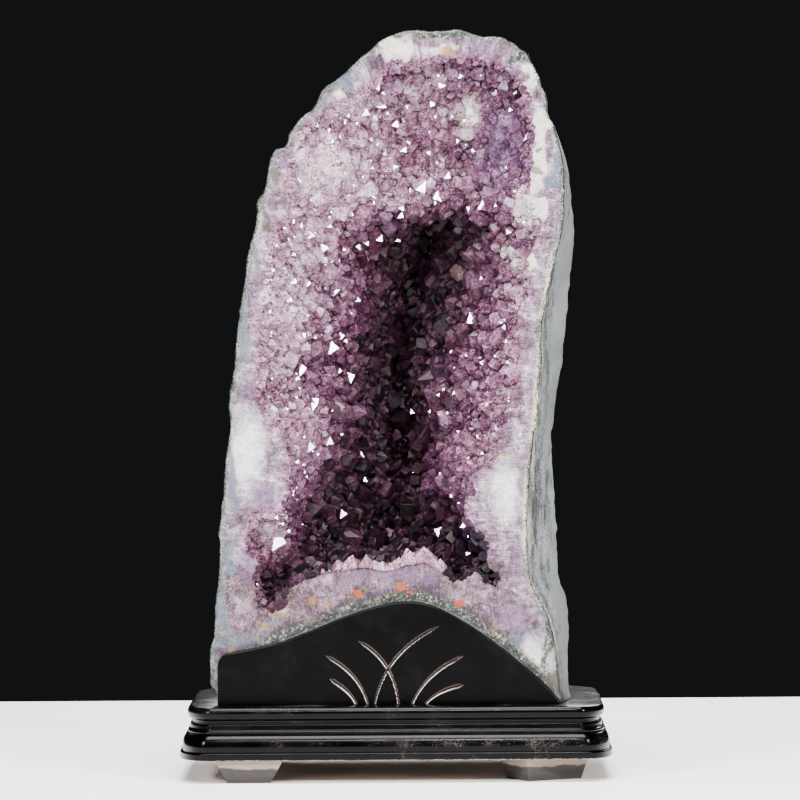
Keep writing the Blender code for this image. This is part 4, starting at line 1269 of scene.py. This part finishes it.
# Cut face: noises by scale, detail, roughness and distortion, colours from dark to light.
rimLook = {
    "mist": (36.0, 6.0, 0.62, 0.6),
    "clouds": (120.0, 5.0, 0.68, 0.9),
    "fine": (520.0, 4.0, 0.7),
    "hue": (52.0, 5.0, 0.6, 0.8),
    "fibres": (620.0, 3.0, 0.6),
    "bands": (330.0, 4.0, 0.65),
    "stains": (85.0, 5.0, 0.7, 1.0),
    "specks": (430.0, 2.0, 0.5),
    "grain": (640.0, 4.0, 0.75),
    "basaltScale": 420.0,
    "speckColour": (104, 50, 72),
    "grainColour": (34, 38, 35),
    "jointColour": (24, 28, 26),
    "archEdgeColour": (86, 90, 88),
    "stainDark": (74, 54, 50),
    "stainLight": (176, 144, 108),
}
rimColours = {
    "quartz": [(0.08, 58, 38, 54), (0.34, 108, 84, 102), (0.56, 146, 124, 140), (0.95, 218, 202, 212)],
    "warmQuartz": [(0.08, 70, 48, 44), (0.34, 120, 99, 92), (0.56, 160, 143, 134), (0.95, 226, 217, 206)],
    "coolQuartz": [(0.08, 48, 50, 60), (0.34, 92, 98, 108), (0.56, 130, 135, 145), (0.95, 210, 211, 216)],
    "pink": [(0.08, 44, 20, 36), (0.36, 96, 64, 84), (0.60, 140, 106, 128), (0.95, 214, 190, 206)],
    "silver": [(0.30, 54, 58, 60), (0.50, 100, 105, 110), (0.70, 172, 174, 177)],
    "rind": [(0.30, 30, 31, 27), (0.48, 82, 84, 76), (0.68, 168, 167, 156)],
    "tan": [(0.28, 70, 52, 38), (0.44, 150, 136, 116), (0.60, 218, 212, 200)],
    "basalt": [(0.10, 26, 32, 30), (0.45, 74, 84, 80), (0.70, 112, 114, 108), (0.95, 186, 180, 170)],
}
# The patches' colours, and the scale, raggedness and sharpness of their broken edges.
patchFinish = {
    "lilac": ((118, 92, 124), 55.0, 1.1, 0.40),
    "milk": ((232, 229, 232), 45.0, 0.7, 0.60),
    "cream": ((222, 213, 198), 60.0, 1.2, 0.16),
    "agate": ((88, 100, 112), 70.0, 1.2, 0.30),
    "olive": ((78, 80, 62), 90.0, 1.4, 0.18),
    "rust": ((146, 108, 62), 120.0, 1.5, 0.42),
    "darkRind": ((58, 55, 48), 120.0, 1.2, 0.15),
    "archBand": ((62, 74, 70), 130.0, 1.1, 0.16),
    "darkDots": ((46, 18, 14), 420.0, 0.6, 0.12),
    "orange": ((178, 66, 4), 330.0, 1.0, 0.14),
}


def layQuartz(tree, place, parts, noises):  # quartz fibres, the pink seam at the crystals, the bands
    mist, clouds, fine = (noises[title] for title in ("mist", "clouds", "fine"))
    outward, fibreX, fibreZ = (meshValue(tree, title) for title in ("toCrystals", "fibreX", "fibreZ"))
    inward = total(tree, meshValue(tree, "fromOutside"), around(tree, clouds, 0.010))
    # fibres run from the outside to the crystals, agate bands run along the outside
    along = joined(tree, fibreX, times(tree, outward, 0.10), fibreZ)
    fibres = cloud(tree, along, *rimLook["fibres"])
    across = joined(tree, times(tree, fibreX, 0.16), inward, times(tree, fibreZ, 0.16))
    bands = cloud(tree, across, *rimLook["bands"])
    tone = total(tree, around(tree, mist, 1.7), around(tree, clouds, 1.1), around(tree, fibres, 0.9),
                 around(tree, fine, 0.7), times(tree, meshValue(tree, "archBand"), -0.42),
                 spread(tree, parts["Z"], 0.26, 0.20, 0.44, 0.26))
    tones = {title: tone for title in ("quartz", "warmQuartz", "coolQuartz", "pink")}
    tones.update({title: total(tree, bands, around(tree, fine, swing))
                  for title, swing in (("silver", 0.7), ("rind", 1.2), ("tan", 1.0))})
    colours = {title: colourSteps(tree, tones[title], rimColours[title]) for title in tones}
    hue = total(tree, cloud(tree, place, *rimLook["hue"]), around(tree, fine, 0.25))
    reach = total(tree, outward, around(tree, clouds, 0.012))
    masks = {
        "warmQuartz": spread(tree, hue, 0.56, 0.68, 0.0, 0.7),
        "coolQuartz": spread(tree, hue, 0.44, 0.32, 0.0, 0.8),
        "pink": spread(tree, reach, 0.001, 0.014, 1.0, 0.0),
        "silver": times(tree, spread(tree, inward, 0.003, 0.011, 1.0, 0.0),
                        spread(tree, mist, 0.38, 0.58, 0.25, 1.0)),
        "rind": spread(tree, inward, 0.0010, 0.0042, 1.0, 0.0),
        "tan": times(tree, meshValue(tree, "tan"), spread(tree, inward, 0.0030, 0.0085, 1.0, 0.0)),
    }
    body = colours["quartz"]
    for title, mask in masks.items():
        body = mixColours(tree, mask, body, colours[title])
    return body, inward, reach, fibres


def layPatches(tree, place, body, noises):
    clouds, fine = noises["clouds"], noises["fine"]
    softness = spread(tree, total(tree, fine, around(tree, clouds, 1.0)), 0.25, 0.75, 0.55, 1.0)
    for title, (colour, scale, ragged, sharp) in patchFinish.items():
        value = meshValue(tree, title)
        torn = useGroup(tree, brokenEdge, {"Mask": value, "Place": place, "Scale": scale,
                                           "Raggedness": ragged, "Sharpness": sharp})["Mask"]
        mask = times(tree, torn, spread(tree, value, 0.02, 0.20))
        if title != "orange":  # the orange grains are solid, the rest lets the quartz through
            mask = times(tree, mask, softness)
        body = mixColours(tree, mask, body, srgb(*colour))
    shade = spread(tree, total(tree, around(tree, clouds, 1.0), around(tree, fine, 0.8), 0.5),
                   0.25, 0.72, 0.66, 1.06)
    whiteness = total(tree, meshValue(tree, "milk"), meshValue(tree, "cream"))
    grey = put(tree, "ShaderNodeCombineColor", {"Red": shade, "Green": shade, "Blue": shade}).outputs[0]
    return mixColours(tree, spread(tree, whiteness, 0.1, 0.7, 1.0, 0.2), body, grey, "MULTIPLY")


def layGrains(tree, place, parts, body, noises, inward):  # basalt, stains and dark grains
    look = rimLook
    mist, clouds, fine = (noises[title] for title in ("mist", "clouds", "fine"))
    archBand, darkRind = meshValue(tree, "archBand"), meshValue(tree, "darkRind")
    speckle = useGroup(tree, grains, {"Place": place, "Scale": look["basaltScale"]})
    basalt = colourSteps(tree, speckle["Tone"], rimColours["basalt"])
    basalt = mixColours(tree, times(tree, speckle["Joint"], 0.6), basalt, srgb(*look["jointColour"]))
    basaltHere = calc(tree, "MAXIMUM", archBand, darkRind)
    speckled = spread(tree, total(tree, basaltHere, around(tree, clouds, 1.2)), 0.36, 0.58, 0.0, 0.85)
    speckled = times(tree, speckled, spread(tree, basaltHere, 0.05, 0.25))
    body = mixColours(tree, speckled, body, basalt)
    # brown and yellow stains between the arch and the crystals
    stain = total(tree, cloud(tree, place, *look["stains"]), around(tree, fine, 0.5))
    stain = times(tree, spread(tree, stain, 0.53, 0.66), spread(tree, parts["Z"], 0.235, 0.195, 0.0, 0.55))
    stainColour = mixColours(tree, mist, srgb(*look["stainDark"]), srgb(*look["stainLight"]))
    body = mixColours(tree, stain, body, stainColour)
    # dark grains, thick along the arch and thin along the outside
    darkness = total(tree, times(tree, archBand, 0.9), spread(tree, inward, 0.0, 0.006, 0.75, 0.0),
                     times(tree, darkRind, 0.5))
    grainy = total(tree, cloud(tree, place, *look["grain"]), times(tree, darkness, 0.20))
    grainMask = times(tree, spread(tree, grainy, 0.60, 0.68), spread(tree, darkness, 0.05, 0.35))
    body = mixColours(tree, grainMask, body, srgb(*look["grainColour"]))
    archEdge = total(tree, meshValue(tree, "archEdge"), around(tree, clouds, 0.5))
    archEdge = spread(tree, archEdge, 0.62, 0.80, 0.0, 0.7)
    return mixColours(tree, archEdge, body, srgb(*look["archEdgeColour"]))


def makeRimMaterial():
    material, tree, shader = newMaterial("cutQuartz")
    place = placeOf(tree)
    parts = put(tree, "ShaderNodeSeparateXYZ", {"Vector": place}).outputs
    noises = {title: cloud(tree, place, *rimLook[title]) for title in ("mist", "clouds", "fine")}
    body, inward, reach, fibres = layQuartz(tree, place, parts, noises)
    body = layPatches(tree, place, body, noises)
    # dark red specks among the first crystals
    specks = spread(tree, cloud(tree, place, *rimLook["specks"]), 0.56, 0.64)
    specks = times(tree, specks, spread(tree, reach, 0.0, 0.009, 0.8, 0.0))
    body = mixColours(tree, specks, body, srgb(*rimLook["speckColour"]))
    body = layGrains(tree, place, parts, body, noises, inward)
    roughness = spread(tree, noises["fine"], 0.3, 0.7, 0.26, 0.46)
    height = total(tree, noises["fine"], times(tree, noises["clouds"], 1.5), times(tree, fibres, 0.5))
    finish(tree, shader, body, roughness, height, 0.35, 0.0010, IOR=1.54)
    return material


wear(rimFace, makeRimMaterial(), "crystal")


# The grey coat: smooth behind, sandy and streaked towards the cut edge.
coatLook = {
    "clouds": (60.0, 5.0),
    "mist": (14.0, 6.0, 0.55, 0.3),
    "fine": (520.0, 4.0, 0.7),
    "streaks": (330.0, 4.0, 0.75),
    "broadStreaks": (90.0,),
    "pits": (300.0, 3.0, 0.6),
    "cracks": (120.0, 3.0, 0.6, 0.6),
    "coatDark": (96, 98, 100),
    "coatLight": (122, 124, 124),
    "markColour": (34, 34, 31),
    "sandLow": 0.026,
    "sandHigh": 0.046,
}
coatColours = {
    "sandy": [(0.28, 40, 40, 36), (0.48, 92, 93, 89), (0.70, 158, 156, 147)],
    "silver": [(0.24, 48, 50, 50), (0.42, 92, 95, 97), (0.75, 122, 125, 126)],
}


def makeStoneMaterial():
    look = coatLook
    material, tree, shader = newMaterial("greyCoat")
    place = placeOf(tree)
    parts = put(tree, "ShaderNodeSeparateXYZ", {"Vector": place}).outputs
    clouds, mist, fine = (cloud(tree, place, *look[title]) for title in ("clouds", "mist", "fine"))
    depth = total(tree, calc(tree, "SUBTRACT", parts["Y"], faceY), around(tree, clouds, 0.014))
    coatTone = spread(tree, total(tree, mist, around(tree, fine, 0.3)), 0.3, 0.7)
    coat = mixColours(tree, coatTone, srgb(*look["coatDark"]), srgb(*look["coatLight"]))
    streaked = joined(tree, parts["X"], parts["Y"], times(tree, parts["Z"], 0.22))
    broad = cloud(tree, streaked, *look["broadStreaks"])
    sandTone = total(tree, cloud(tree, streaked, *look["streaks"]), around(tree, broad, 1.6),
                     around(tree, fine, 1.0))
    sandy, silver = (colourSteps(tree, sandTone, coatColours[title]) for title in ("sandy", "silver"))
    # the sand lies deepest just above the leg
    reach = times(tree, spread(tree, parts["Z"], 0.16, 0.26, look["sandLow"], look["sandHigh"]),
                  spread(tree, parts["Z"], 0.30, 0.46, 1.0, 0.55))
    share = total(tree, calc(tree, "DIVIDE", depth, reach), around(tree, clouds, 0.9))
    body = mixColours(tree, spread(tree, share, 0.25, 0.55), sandy, silver)
    body = mixColours(tree, spread(tree, share, 0.85, 1.10), body, coat)
    pitted = total(tree, cloud(tree, place, *look["pits"]), spread(tree, share, 0.5, 1.2, 0.06, 0.0))
    # cracks that run along the arris
    stretched = joined(tree, parts["X"], parts["Y"], times(tree, parts["Z"], 0.12))
    lines = calc(tree, "SUBTRACT", cloud(tree, stretched, *look["cracks"]), 0.5)
    crack = times(tree, spread(tree, calc(tree, "ABSOLUTE", lines), 0.0, 0.012, 1.0, 0.0),
                  spread(tree, share, 0.8, 1.1, 1.0, 0.0),
                  spread(tree, cloud(tree, place, 11.0, 3.0), 0.44, 0.52))
    marks = calc(tree, "MAXIMUM", times(tree, spread(tree, pitted, 0.64, 0.69), 0.65), crack)
    body = mixColours(tree, marks, body, srgb(*look["markColour"]))
    height = calc(tree, "SUBTRACT", fine, times(tree, marks, 2.0))
    roughness = spread(tree, mist, 0.3, 0.7, 0.60, 0.78)
    finish(tree, shader, body, roughness, height, 0.40, 0.001)
    return material


wear(stoneWall, makeStoneMaterial(), "stone", "geode_shell")

# The carved board in front of the arch, from the CAD's own values.
boardLook = {
    "bottom": 0.0783,
    "grid": 0.0008,
    "edge": 0.0022,
    "bladeHalfWidth": 0.0025,
    "grooveDepth": 0.0016,
    "gridHeight": 0.104,
    "sharpAngle": 50.0,
}
boardOutline = [
    (-0.185, 0.118), (-0.182, 0.127), (-0.174, 0.1315), (-0.146, 0.137), (-0.117, 0.144),
    (-0.085, 0.156), (-0.053, 0.169), (-0.022, 0.179), (0.008, 0.1845), (0.036, 0.181),
    (0.067, 0.166), (0.100, 0.144), (0.133, 0.118), (0.157, 0.096), (0.1725, 0.0783),
]
# Carved blades of grass: foot, point that the blade bends past, and tip.
blades = [
    ((-0.041, 0.0790), (-0.047, 0.093), (-0.068, 0.105)),
    ((-0.029, 0.0790), (-0.038, 0.112), (-0.072, 0.129)),
    ((-0.022, 0.0790), (-0.010, 0.134), (0.045, 0.159)),
    ((0.003, 0.0790), (-0.002, 0.125), (-0.038, 0.144)),
    ((0.017, 0.0790), (0.032, 0.112), (0.070, 0.128)), ((0.031, 0.0790), (0.045, 0.094), (0.070, 0.098)),
]


def bladeDistances(flat):  # distance from the nearest blade in half widths, its side, and how far along it
    nearest = np.full(len(flat), 3.0)
    sides = np.zeros(len(flat))
    share = np.zeros(len(flat))
    t = np.linspace(0.0, 1.0, 90)[:, None]
    rows = np.arange(len(flat))
    for foot, bend, tip in blades:
        foot, bend, tip = np.array(foot), np.array(bend), np.array(tip)
        line = foot * (1 - t) ** 2 + bend * 2 * t * (1 - t) + tip * t * t
        along = np.gradient(line, axis=0)
        along /= np.linalg.norm(along, axis=1)[:, None]
        gaps = flat[:, None, :] - line[None, :, :]
        closest = np.argmin((gaps ** 2).sum(axis=2), axis=1)
        gap, run = gaps[rows, closest], along[closest]
        side = run[:, 0] * gap[:, 1] - run[:, 1] * gap[:, 0]
        side *= 1.0 if tip[0] > foot[0] else -1.0
        beyond = np.abs((gap * run).sum(axis=1))
        part = t[closest, 0]
        width = boardLook["bladeHalfWidth"] * (0.70 + 0.45 * fade(part, 0.1, 0.8))
        width = width * (1.0 - 0.7 * fade(part, 0.90, 1.0))
        away = np.minimum(np.abs(side) / width + beyond / 0.0008, 3.0)
        closer = away < nearest
        nearest = np.where(closer, away, nearest)
        sides = np.where(closer, np.clip(side / width, -1.5, 1.5), sides)
        share = np.where(closer, part, share)
    return nearest, sides, share


def makeBoard():
    look = boardLook
    low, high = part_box("front_board")
    curve = smoothRun(boardOutline, 900, closed=False)
    left, right = curve[0, 0], curve[-1, 0] - 0.0004
    ends = left + look["edge"] * 1.4 * np.linspace(0.0, 1.0, 10)[:-1] ** 1.5
    columns = np.concatenate([ends, np.arange(ends[-1] + 0.0005, right, look["grid"]), [right]])
    tops = np.maximum(np.interp(columns, curve[:, 0], curve[:, 1]), look["bottom"] + 0.0003)
    rows = int(look["gridHeight"] / look["grid"])
    shares = np.linspace(0.0, 1.0, rows)
    shares = np.concatenate([shares[:-2], 1.0 - (1.0 - shares[-3]) * np.linspace(0.9, 0.0, 9) ** 1.5])
    outline = np.vstack([[(left, look["bottom"] - 0.02)], curve])
    outline = evenRun(outline, 1400)
    front = np.array([(x, look["bottom"] + (top - look["bottom"]) * share) for share in shares
                      for x, top in zip(columns, tops)])
    inside = nearestDistance(front, outline)
    near = np.clip(1.0 - inside / look["edge"], 0.0, 1.0)
    depth = look["edge"] * (1.0 - np.sqrt(1.0 - near ** 2))
    groove, sides, share = bladeDistances(front)
    profile = np.clip(1.0 - groove, 0.0, 1.0)
    depth += look["grooveDepth"] * profile ** 0.7 * (1.0 - 0.6 * fade(share, 0.6, 1.0))
    count = len(columns)
    points = np.column_stack([front[:, 0], low.y + depth, front[:, 1]])
    top = points[-count:].copy()
    foot = points[:count].copy()
    back = [np.column_stack([top[:, 0], np.full(count, high.y), top[:, 2]]),
            np.column_stack([foot[:, 0], np.full(count, high.y), foot[:, 2]])]
    allRows = len(shares) + 3
    faces = gridFaces(allRows, count, wrap=False)
    ring = [row * count for row in range(allRows - 1)]
    faces.append(ring[::-1])
    faces.append([index + count - 1 for index in ring])
    board = meshObject("carved_board", np.vstack([points] + back + [foot]), faces, smooth=True)
    for title, values, elsewhere in (("groove", groove, 3.0), ("side", sides, 0.0),
                                     ("bladeShare", share, 0.0)):
        setValues(board, title, np.concatenate([values, np.full(3 * count, elsewhere)]))
    rework(board, lambda bm: bmesh.ops.remove_doubles(bm, verts=bm.verts, dist=1e-6))
    turnOutward(board)
    board.data.set_sharp_from_angle(angle=math.radians(look["sharpAngle"]))
    return board


carvedBoard = makeBoard()
print("board:", len(carvedBoard.data.polygons), "faces")

# The plinth: the CAD's moulding, rounded, carried round a plan with quarter ellipses at the corners.
# Each point of the moulding is how far it lies inside the plan, and its height.
plinthLook = {
    "halfWidth": 0.225,
    "halfDepth": 0.153,
    "cornerWidth": 0.028,
    "cornerDepth": 0.060,
    "cornerSteps": 26,
    "sideStep": 0.010,
    "profileSteps": 120,
    "sharpAngle": 55.0,
}
moulding = [
    (0.0020, 0.0235), (0.0004, 0.0240), (0.0000, 0.0254), (0.0000, 0.0302), (0.0006, 0.0312),
    (0.0024, 0.0317), (0.0028, 0.0324), (0.0026, 0.0385), (0.0040, 0.0450), (0.0068, 0.0488),
    (0.0090, 0.0498), (0.0092, 0.0503), (0.0084, 0.0510), (0.0081, 0.0518), (0.0082, 0.0530),
    (0.0088, 0.0539), (0.0102, 0.0546), (0.0105, 0.0556), (0.0108, 0.0596), (0.0114, 0.0604),
    (0.0129, 0.0607), (0.0130, 0.0615), (0.0130, 0.0638), (0.0124, 0.0647), (0.0108, 0.0651),
    (0.0090, 0.0668), (0.0081, 0.0700), (0.0081, 0.0730), (0.0090, 0.0757), (0.0108, 0.0774),
    (0.0132, 0.0780),
]


def plinthPlan():
    look = plinthLook
    plan = []
    cornerWidth, cornerDepth = look["cornerWidth"], look["cornerDepth"]
    for sideX, sideY, start in ((1, 1, 0.0), (-1, 1, 90.0), (-1, -1, 180.0), (1, -1, 270.0)):
        for angle in np.radians(np.linspace(start, start + 90.0, look["cornerSteps"])):
            plan.append((sideX * (look["halfWidth"] - cornerWidth) + cornerWidth * math.cos(angle),
                         sideY * (look["halfDepth"] - cornerDepth) + cornerDepth * math.sin(angle)))
    closed = np.vstack([plan, plan[:1]])
    dense = []
    for one, other in zip(closed[:-1], closed[1:]):
        parts = max(1, int(np.linalg.norm(other - one) / look["sideStep"]))
        dense += [one + (other - one) * step / parts for step in range(parts)]
    return np.array(dense)


def makePlinth():
    look = plinthLook
    plan = plinthPlan()
    profile = evenRun(smoothRun(moulding, 400, closed=False), look["profileSteps"])
    profile[:, 0] = np.maximum(profile[:, 0], 0.00001)
    profile[:, 1] = np.clip(profile[:, 1], plinthLow.z, plinthHigh.z)
    rings = []
    for inset, height in profile:
        ring = plan * np.array([(look["halfWidth"] - inset) / look["halfWidth"],
                                (look["halfDepth"] - inset) / look["halfDepth"]])
        rings.append(np.column_stack([ring, np.full(len(ring), height)]))
    points = np.vstack(rings)
    count = len(plan)
    faces = gridFaces(len(rings), count)
    faces.append(list(range(count))[::-1])
    faces.append(list(range(len(points) - count, len(points))))
    plinth = meshObject("lacquered_plinth", points, faces, smooth=True)
    turnOutward(plinth)
    plinth.data.set_sharp_from_angle(angle=math.radians(look["sharpAngle"]))
    return plinth


lacqueredPlinth = makePlinth()
print("plinth:", len(lacqueredPlinth.data.polygons), "faces")

# Wooden feet: name, place of the middle, width at the top and at the bottom, turn in degrees.
footLook = {
    "depthTop": 0.056,
    "depthBottom": 0.044,
    "edge": 0.0009,
}
feet = [
    ("foot_front_left", (-0.152, -0.118), 0.070, 0.045, 0.0),
    ("foot_front_right", (0.154, -0.104), 0.074, 0.064, 30.0),
    ("foot_back_left", (-0.152, 0.118), 0.070, 0.045, 180.0),
    ("foot_back_right", (0.152, 0.118), 0.070, 0.045, 180.0),
]


def makeFoot(name, place, topWidth, bottomWidth, turn):
    low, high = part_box(name)
    bm = bmesh.new()
    bmesh.ops.create_cube(bm, size=1.0)
    for vert in bm.verts:
        atTop = vert.co.z > 0.0
        vert.co.x *= topWidth if atTop else bottomWidth
        vert.co.y *= footLook["depthTop"] if atTop else footLook["depthBottom"]
        vert.co.z = high.z if atTop else low.z
    bmesh.ops.bevel(bm, geom=bm.edges[:], offset=footLook["edge"], segments=3, profile=0.5, affect="EDGES")
    bmesh.ops.rotate(bm, matrix=Matrix.Rotation(math.radians(turn), 3, "Z"), verts=bm.verts)
    bmesh.ops.translate(bm, vec=(place[0], place[1], 0.0), verts=bm.verts)
    mesh = bpy.data.meshes.new("sawn_" + name)
    bm.to_mesh(mesh)
    bm.free()
    foot = bpy.data.objects.new("sawn_" + name, mesh)
    bpy.context.scene.collection.objects.link(foot)
    return foot


# Lacquer: smudges, scratches in bands, worn brown and a painted silver highlight in the carving,
# chips at the lower edge.
lacquerLook = {
    "crackle": (760.0, 4.0, 0.80, 1.0),
    "scratchPatches": (15.0, 4.0, 0.6),
    "smudges": (22.0, 6.0, 0.6, 0.8),
    "fine": (300.0, 4.0, 0.7),
    "ior": 1.5,
    "boardScratches": 0.12,
    "boardDark": (4, 4, 4),
    "boardSmudged": (12, 12, 14),
    "boardScratch": (90, 90, 92),
    "grooveColour": (30, 25, 24),
    "grooveBrown": (104, 84, 76),
    "grooveHighlight": (216, 210, 206),
    "plinthScratches": 0.06,
    "plinthBandScratches": 0.72,
    "plinthDark": (5, 4, 4),
    "plinthSmudged": (15, 11, 12),
    "scratchRed": (46, 22, 22),
    "scratchGrey": (120, 112, 110),
    "chipColour": (150, 132, 118),
}


def makeScuffs():
    look = lacquerLook
    group, given, result = newGroup("scuffs", [("Place", "vector", None), ("Amount", "value", 0.5)],
                                    [("Scratch", "value"), ("Smudge", "value")])
    place = given["Place"]
    stretched = put(group, "ShaderNodeMapping", {"Vector": place, "Scale": (0.7, 0.7, 1.2)}).outputs[0]
    level = total(group, cloud(group, stretched, *look["crackle"]),
                  around(group, cloud(group, place, *look["scratchPatches"]), 0.85),
                  times(group, given["Amount"], 0.12))
    group.links.new(spread(group, level, 0.66, 0.74), result["Scratch"])
    group.links.new(spread(group, cloud(group, place, *look["smudges"]), 0.40, 0.75), result["Smudge"])
    return group


scuffs = makeScuffs()


def makeBoardMaterial():
    look = lacquerLook
    material, tree, shader = newMaterial("satinLacquer")
    place = placeOf(tree)
    worn = useGroup(tree, scuffs, {"Place": place, "Amount": look["boardScratches"]})
    fine = cloud(tree, place, *look["fine"])
    body = mixColours(tree, worn["Smudge"], srgb(*look["boardDark"]), srgb(*look["boardSmudged"]))
    body = mixColours(tree, times(tree, worn["Scratch"], 0.03), body, srgb(*look["boardScratch"]))
    # the carving is dark in its middle, brown along one edge and silver along the other, a painted
    # highlight where the light from above catches that edge
    groove, side, share = (meshValue(tree, title) for title in ("groove", "side", "bladeShare"))
    ragged = around(tree, cloud(tree, place, 420.0, 3.0), 0.5)
    edge = total(tree, side, ragged)
    inGroove = spread(tree, total(tree, groove, times(tree, ragged, 0.3)), 0.80, 1.05, 1.0, 0.0)
    brown = times(tree, inGroove, spread(tree, edge, 0.15, 0.45),
                  spread(tree, share, 0.3, 1.0, 0.9, 0.45))
    silver = times(tree, inGroove, spread(tree, edge, -0.30, -0.55),
                   spread(tree, share, 0.35, 1.0, 1.0, 0.22))
    for mask, colour in ((times(tree, inGroove, 0.8), "grooveColour"), (brown, "grooveBrown"),
                         (silver, "grooveHighlight")):
        body = mixColours(tree, mask, body, srgb(*look[colour]))
    roughness = total(tree, spread(tree, worn["Smudge"], 0.0, 1.0, 0.30, 0.42), times(tree, fine, 0.05))
    finish(tree, shader, body, roughness, fine, 0.05, 0.0005, IOR=look["ior"], Specular_IOR_Level=0.08)
    return material


def makePlinthMaterial():
    look = lacquerLook
    material, tree, shader = newMaterial("glossLacquer")
    place = placeOf(tree)
    height = put(tree, "ShaderNodeSeparateXYZ", {"Vector": place}).outputs["Z"]
    band = times(tree, spread(tree, height, 0.034, 0.040), spread(tree, height, 0.044, 0.049, 1.0, 0.0))
    amount = total(tree, times(tree, band, look["plinthBandScratches"]), look["plinthScratches"])
    worn = useGroup(tree, scuffs, {"Place": place, "Amount": amount})
    fine = cloud(tree, place, *look["fine"])
    body = mixColours(tree, worn["Smudge"], srgb(*look["plinthDark"]), srgb(*look["plinthSmudged"]))
    reddish = mixColours(tree, cloud(tree, place, 60.0, 3.0), srgb(*look["scratchRed"]),
                         srgb(*look["scratchGrey"]))
    body = mixColours(tree, times(tree, worn["Scratch"], 0.55), body, reddish)
    edge = total(tree, height, around(tree, cloud(tree, place, 240.0, 4.0, 0.7), 0.004))
    body = mixColours(tree, spread(tree, edge, 0.0238, 0.0246, 1.0, 0.0), body, srgb(*look["chipColour"]))
    roughness = total(tree, spread(tree, worn["Smudge"], 0.0, 1.0, 0.18, 0.28),
                      times(tree, worn["Scratch"], 0.35))
    finish(tree, shader, body, roughness, fine, 0.05, 0.0005, IOR=look["ior"], Specular_IOR_Level=0.12)
    return material


# Bare sawn wood, stained up to a wavy line at this height.
woodLook = {
    "bareDark": (112, 98, 87),
    "bareLight": (154, 140, 127),
    "stainedDark": (36, 32, 29),
    "stainedLight": (68, 62, 58),
    "stainHeight": (0.0140, 0.0158),
    "stainWave": 0.008,
}


def makeWoodMaterial():
    look = woodLook
    material, tree, shader = newMaterial("footWood")
    place = placeOf(tree)
    stretched = put(tree, "ShaderNodeMapping", {"Vector": place, "Scale": (8.0, 8.0, 160.0)}).outputs[0]
    grain = cloud(tree, stretched, 6.0, 5.0, 0.6, 0.5)
    height = total(tree, put(tree, "ShaderNodeSeparateXYZ", {"Vector": place}).outputs["Z"],
                   around(tree, cloud(tree, place, 60.0, 3.0), look["stainWave"]))
    bare = mixColours(tree, grain, srgb(*look["bareDark"]), srgb(*look["bareLight"]))
    stained = mixColours(tree, grain, srgb(*look["stainedDark"]), srgb(*look["stainedLight"]))
    colour = mixColours(tree, spread(tree, height, *look["stainHeight"]), stained, bare)
    finish(tree, shader, colour, 0.7, grain, 0.3, 0.0006)
    return material


wear(carvedBoard, makeBoardMaterial(), "lacquer", "front_board")
wear(lacqueredPlinth, makePlinthMaterial(), "lacquer", "plinth")
footWood = makeWoodMaterial()
for foot in feet:
    wear(makeFoot(*foot), footWood, "wood", foot[0])
print("stand made")


def makeStudio(look):
    width, depth = look["floorSize"]
    bpy.ops.mesh.primitive_plane_add(size=1.0, location=(0.0, look["floorBackEdge"] - depth / 2.0, 0.0))
    floor = bpy.context.object
    floor.name = "studio_floor"
    floor.scale = (width, depth, 1.0)
    material, tree, shader = newMaterial("paleFloor")
    tone = spread(tree, cloud(tree, placeOf(tree), 3.0), 0.3, 0.7)
    colour = mixColours(tree, tone, look["floorWorn"], look["floor"])
    finish(tree, shader, colour, 0.75)
    floor.data.materials.append(material)
    for lamp in look["lamps"]:
        data = bpy.data.lights.new(lamp["name"], "AREA")
        data.size = lamp["size"]
        data.energy = lamp["power"]
        light = bpy.data.objects.new(lamp["name"], data)
        bpy.context.scene.collection.objects.link(light)
        light.location = lamp["place"]
        towards = Vector(look["aim"]) - Vector(lamp["place"])
        light.rotation_euler = towards.to_track_quat("-Z", "Y").to_euler()
    world = bpy.data.worlds.new("studio")
    world.use_nodes = True
    world.node_tree.nodes["Background"].inputs["Color"].default_value = look["world"]
    bpy.context.scene.world = world


makeStudio(studioLook)
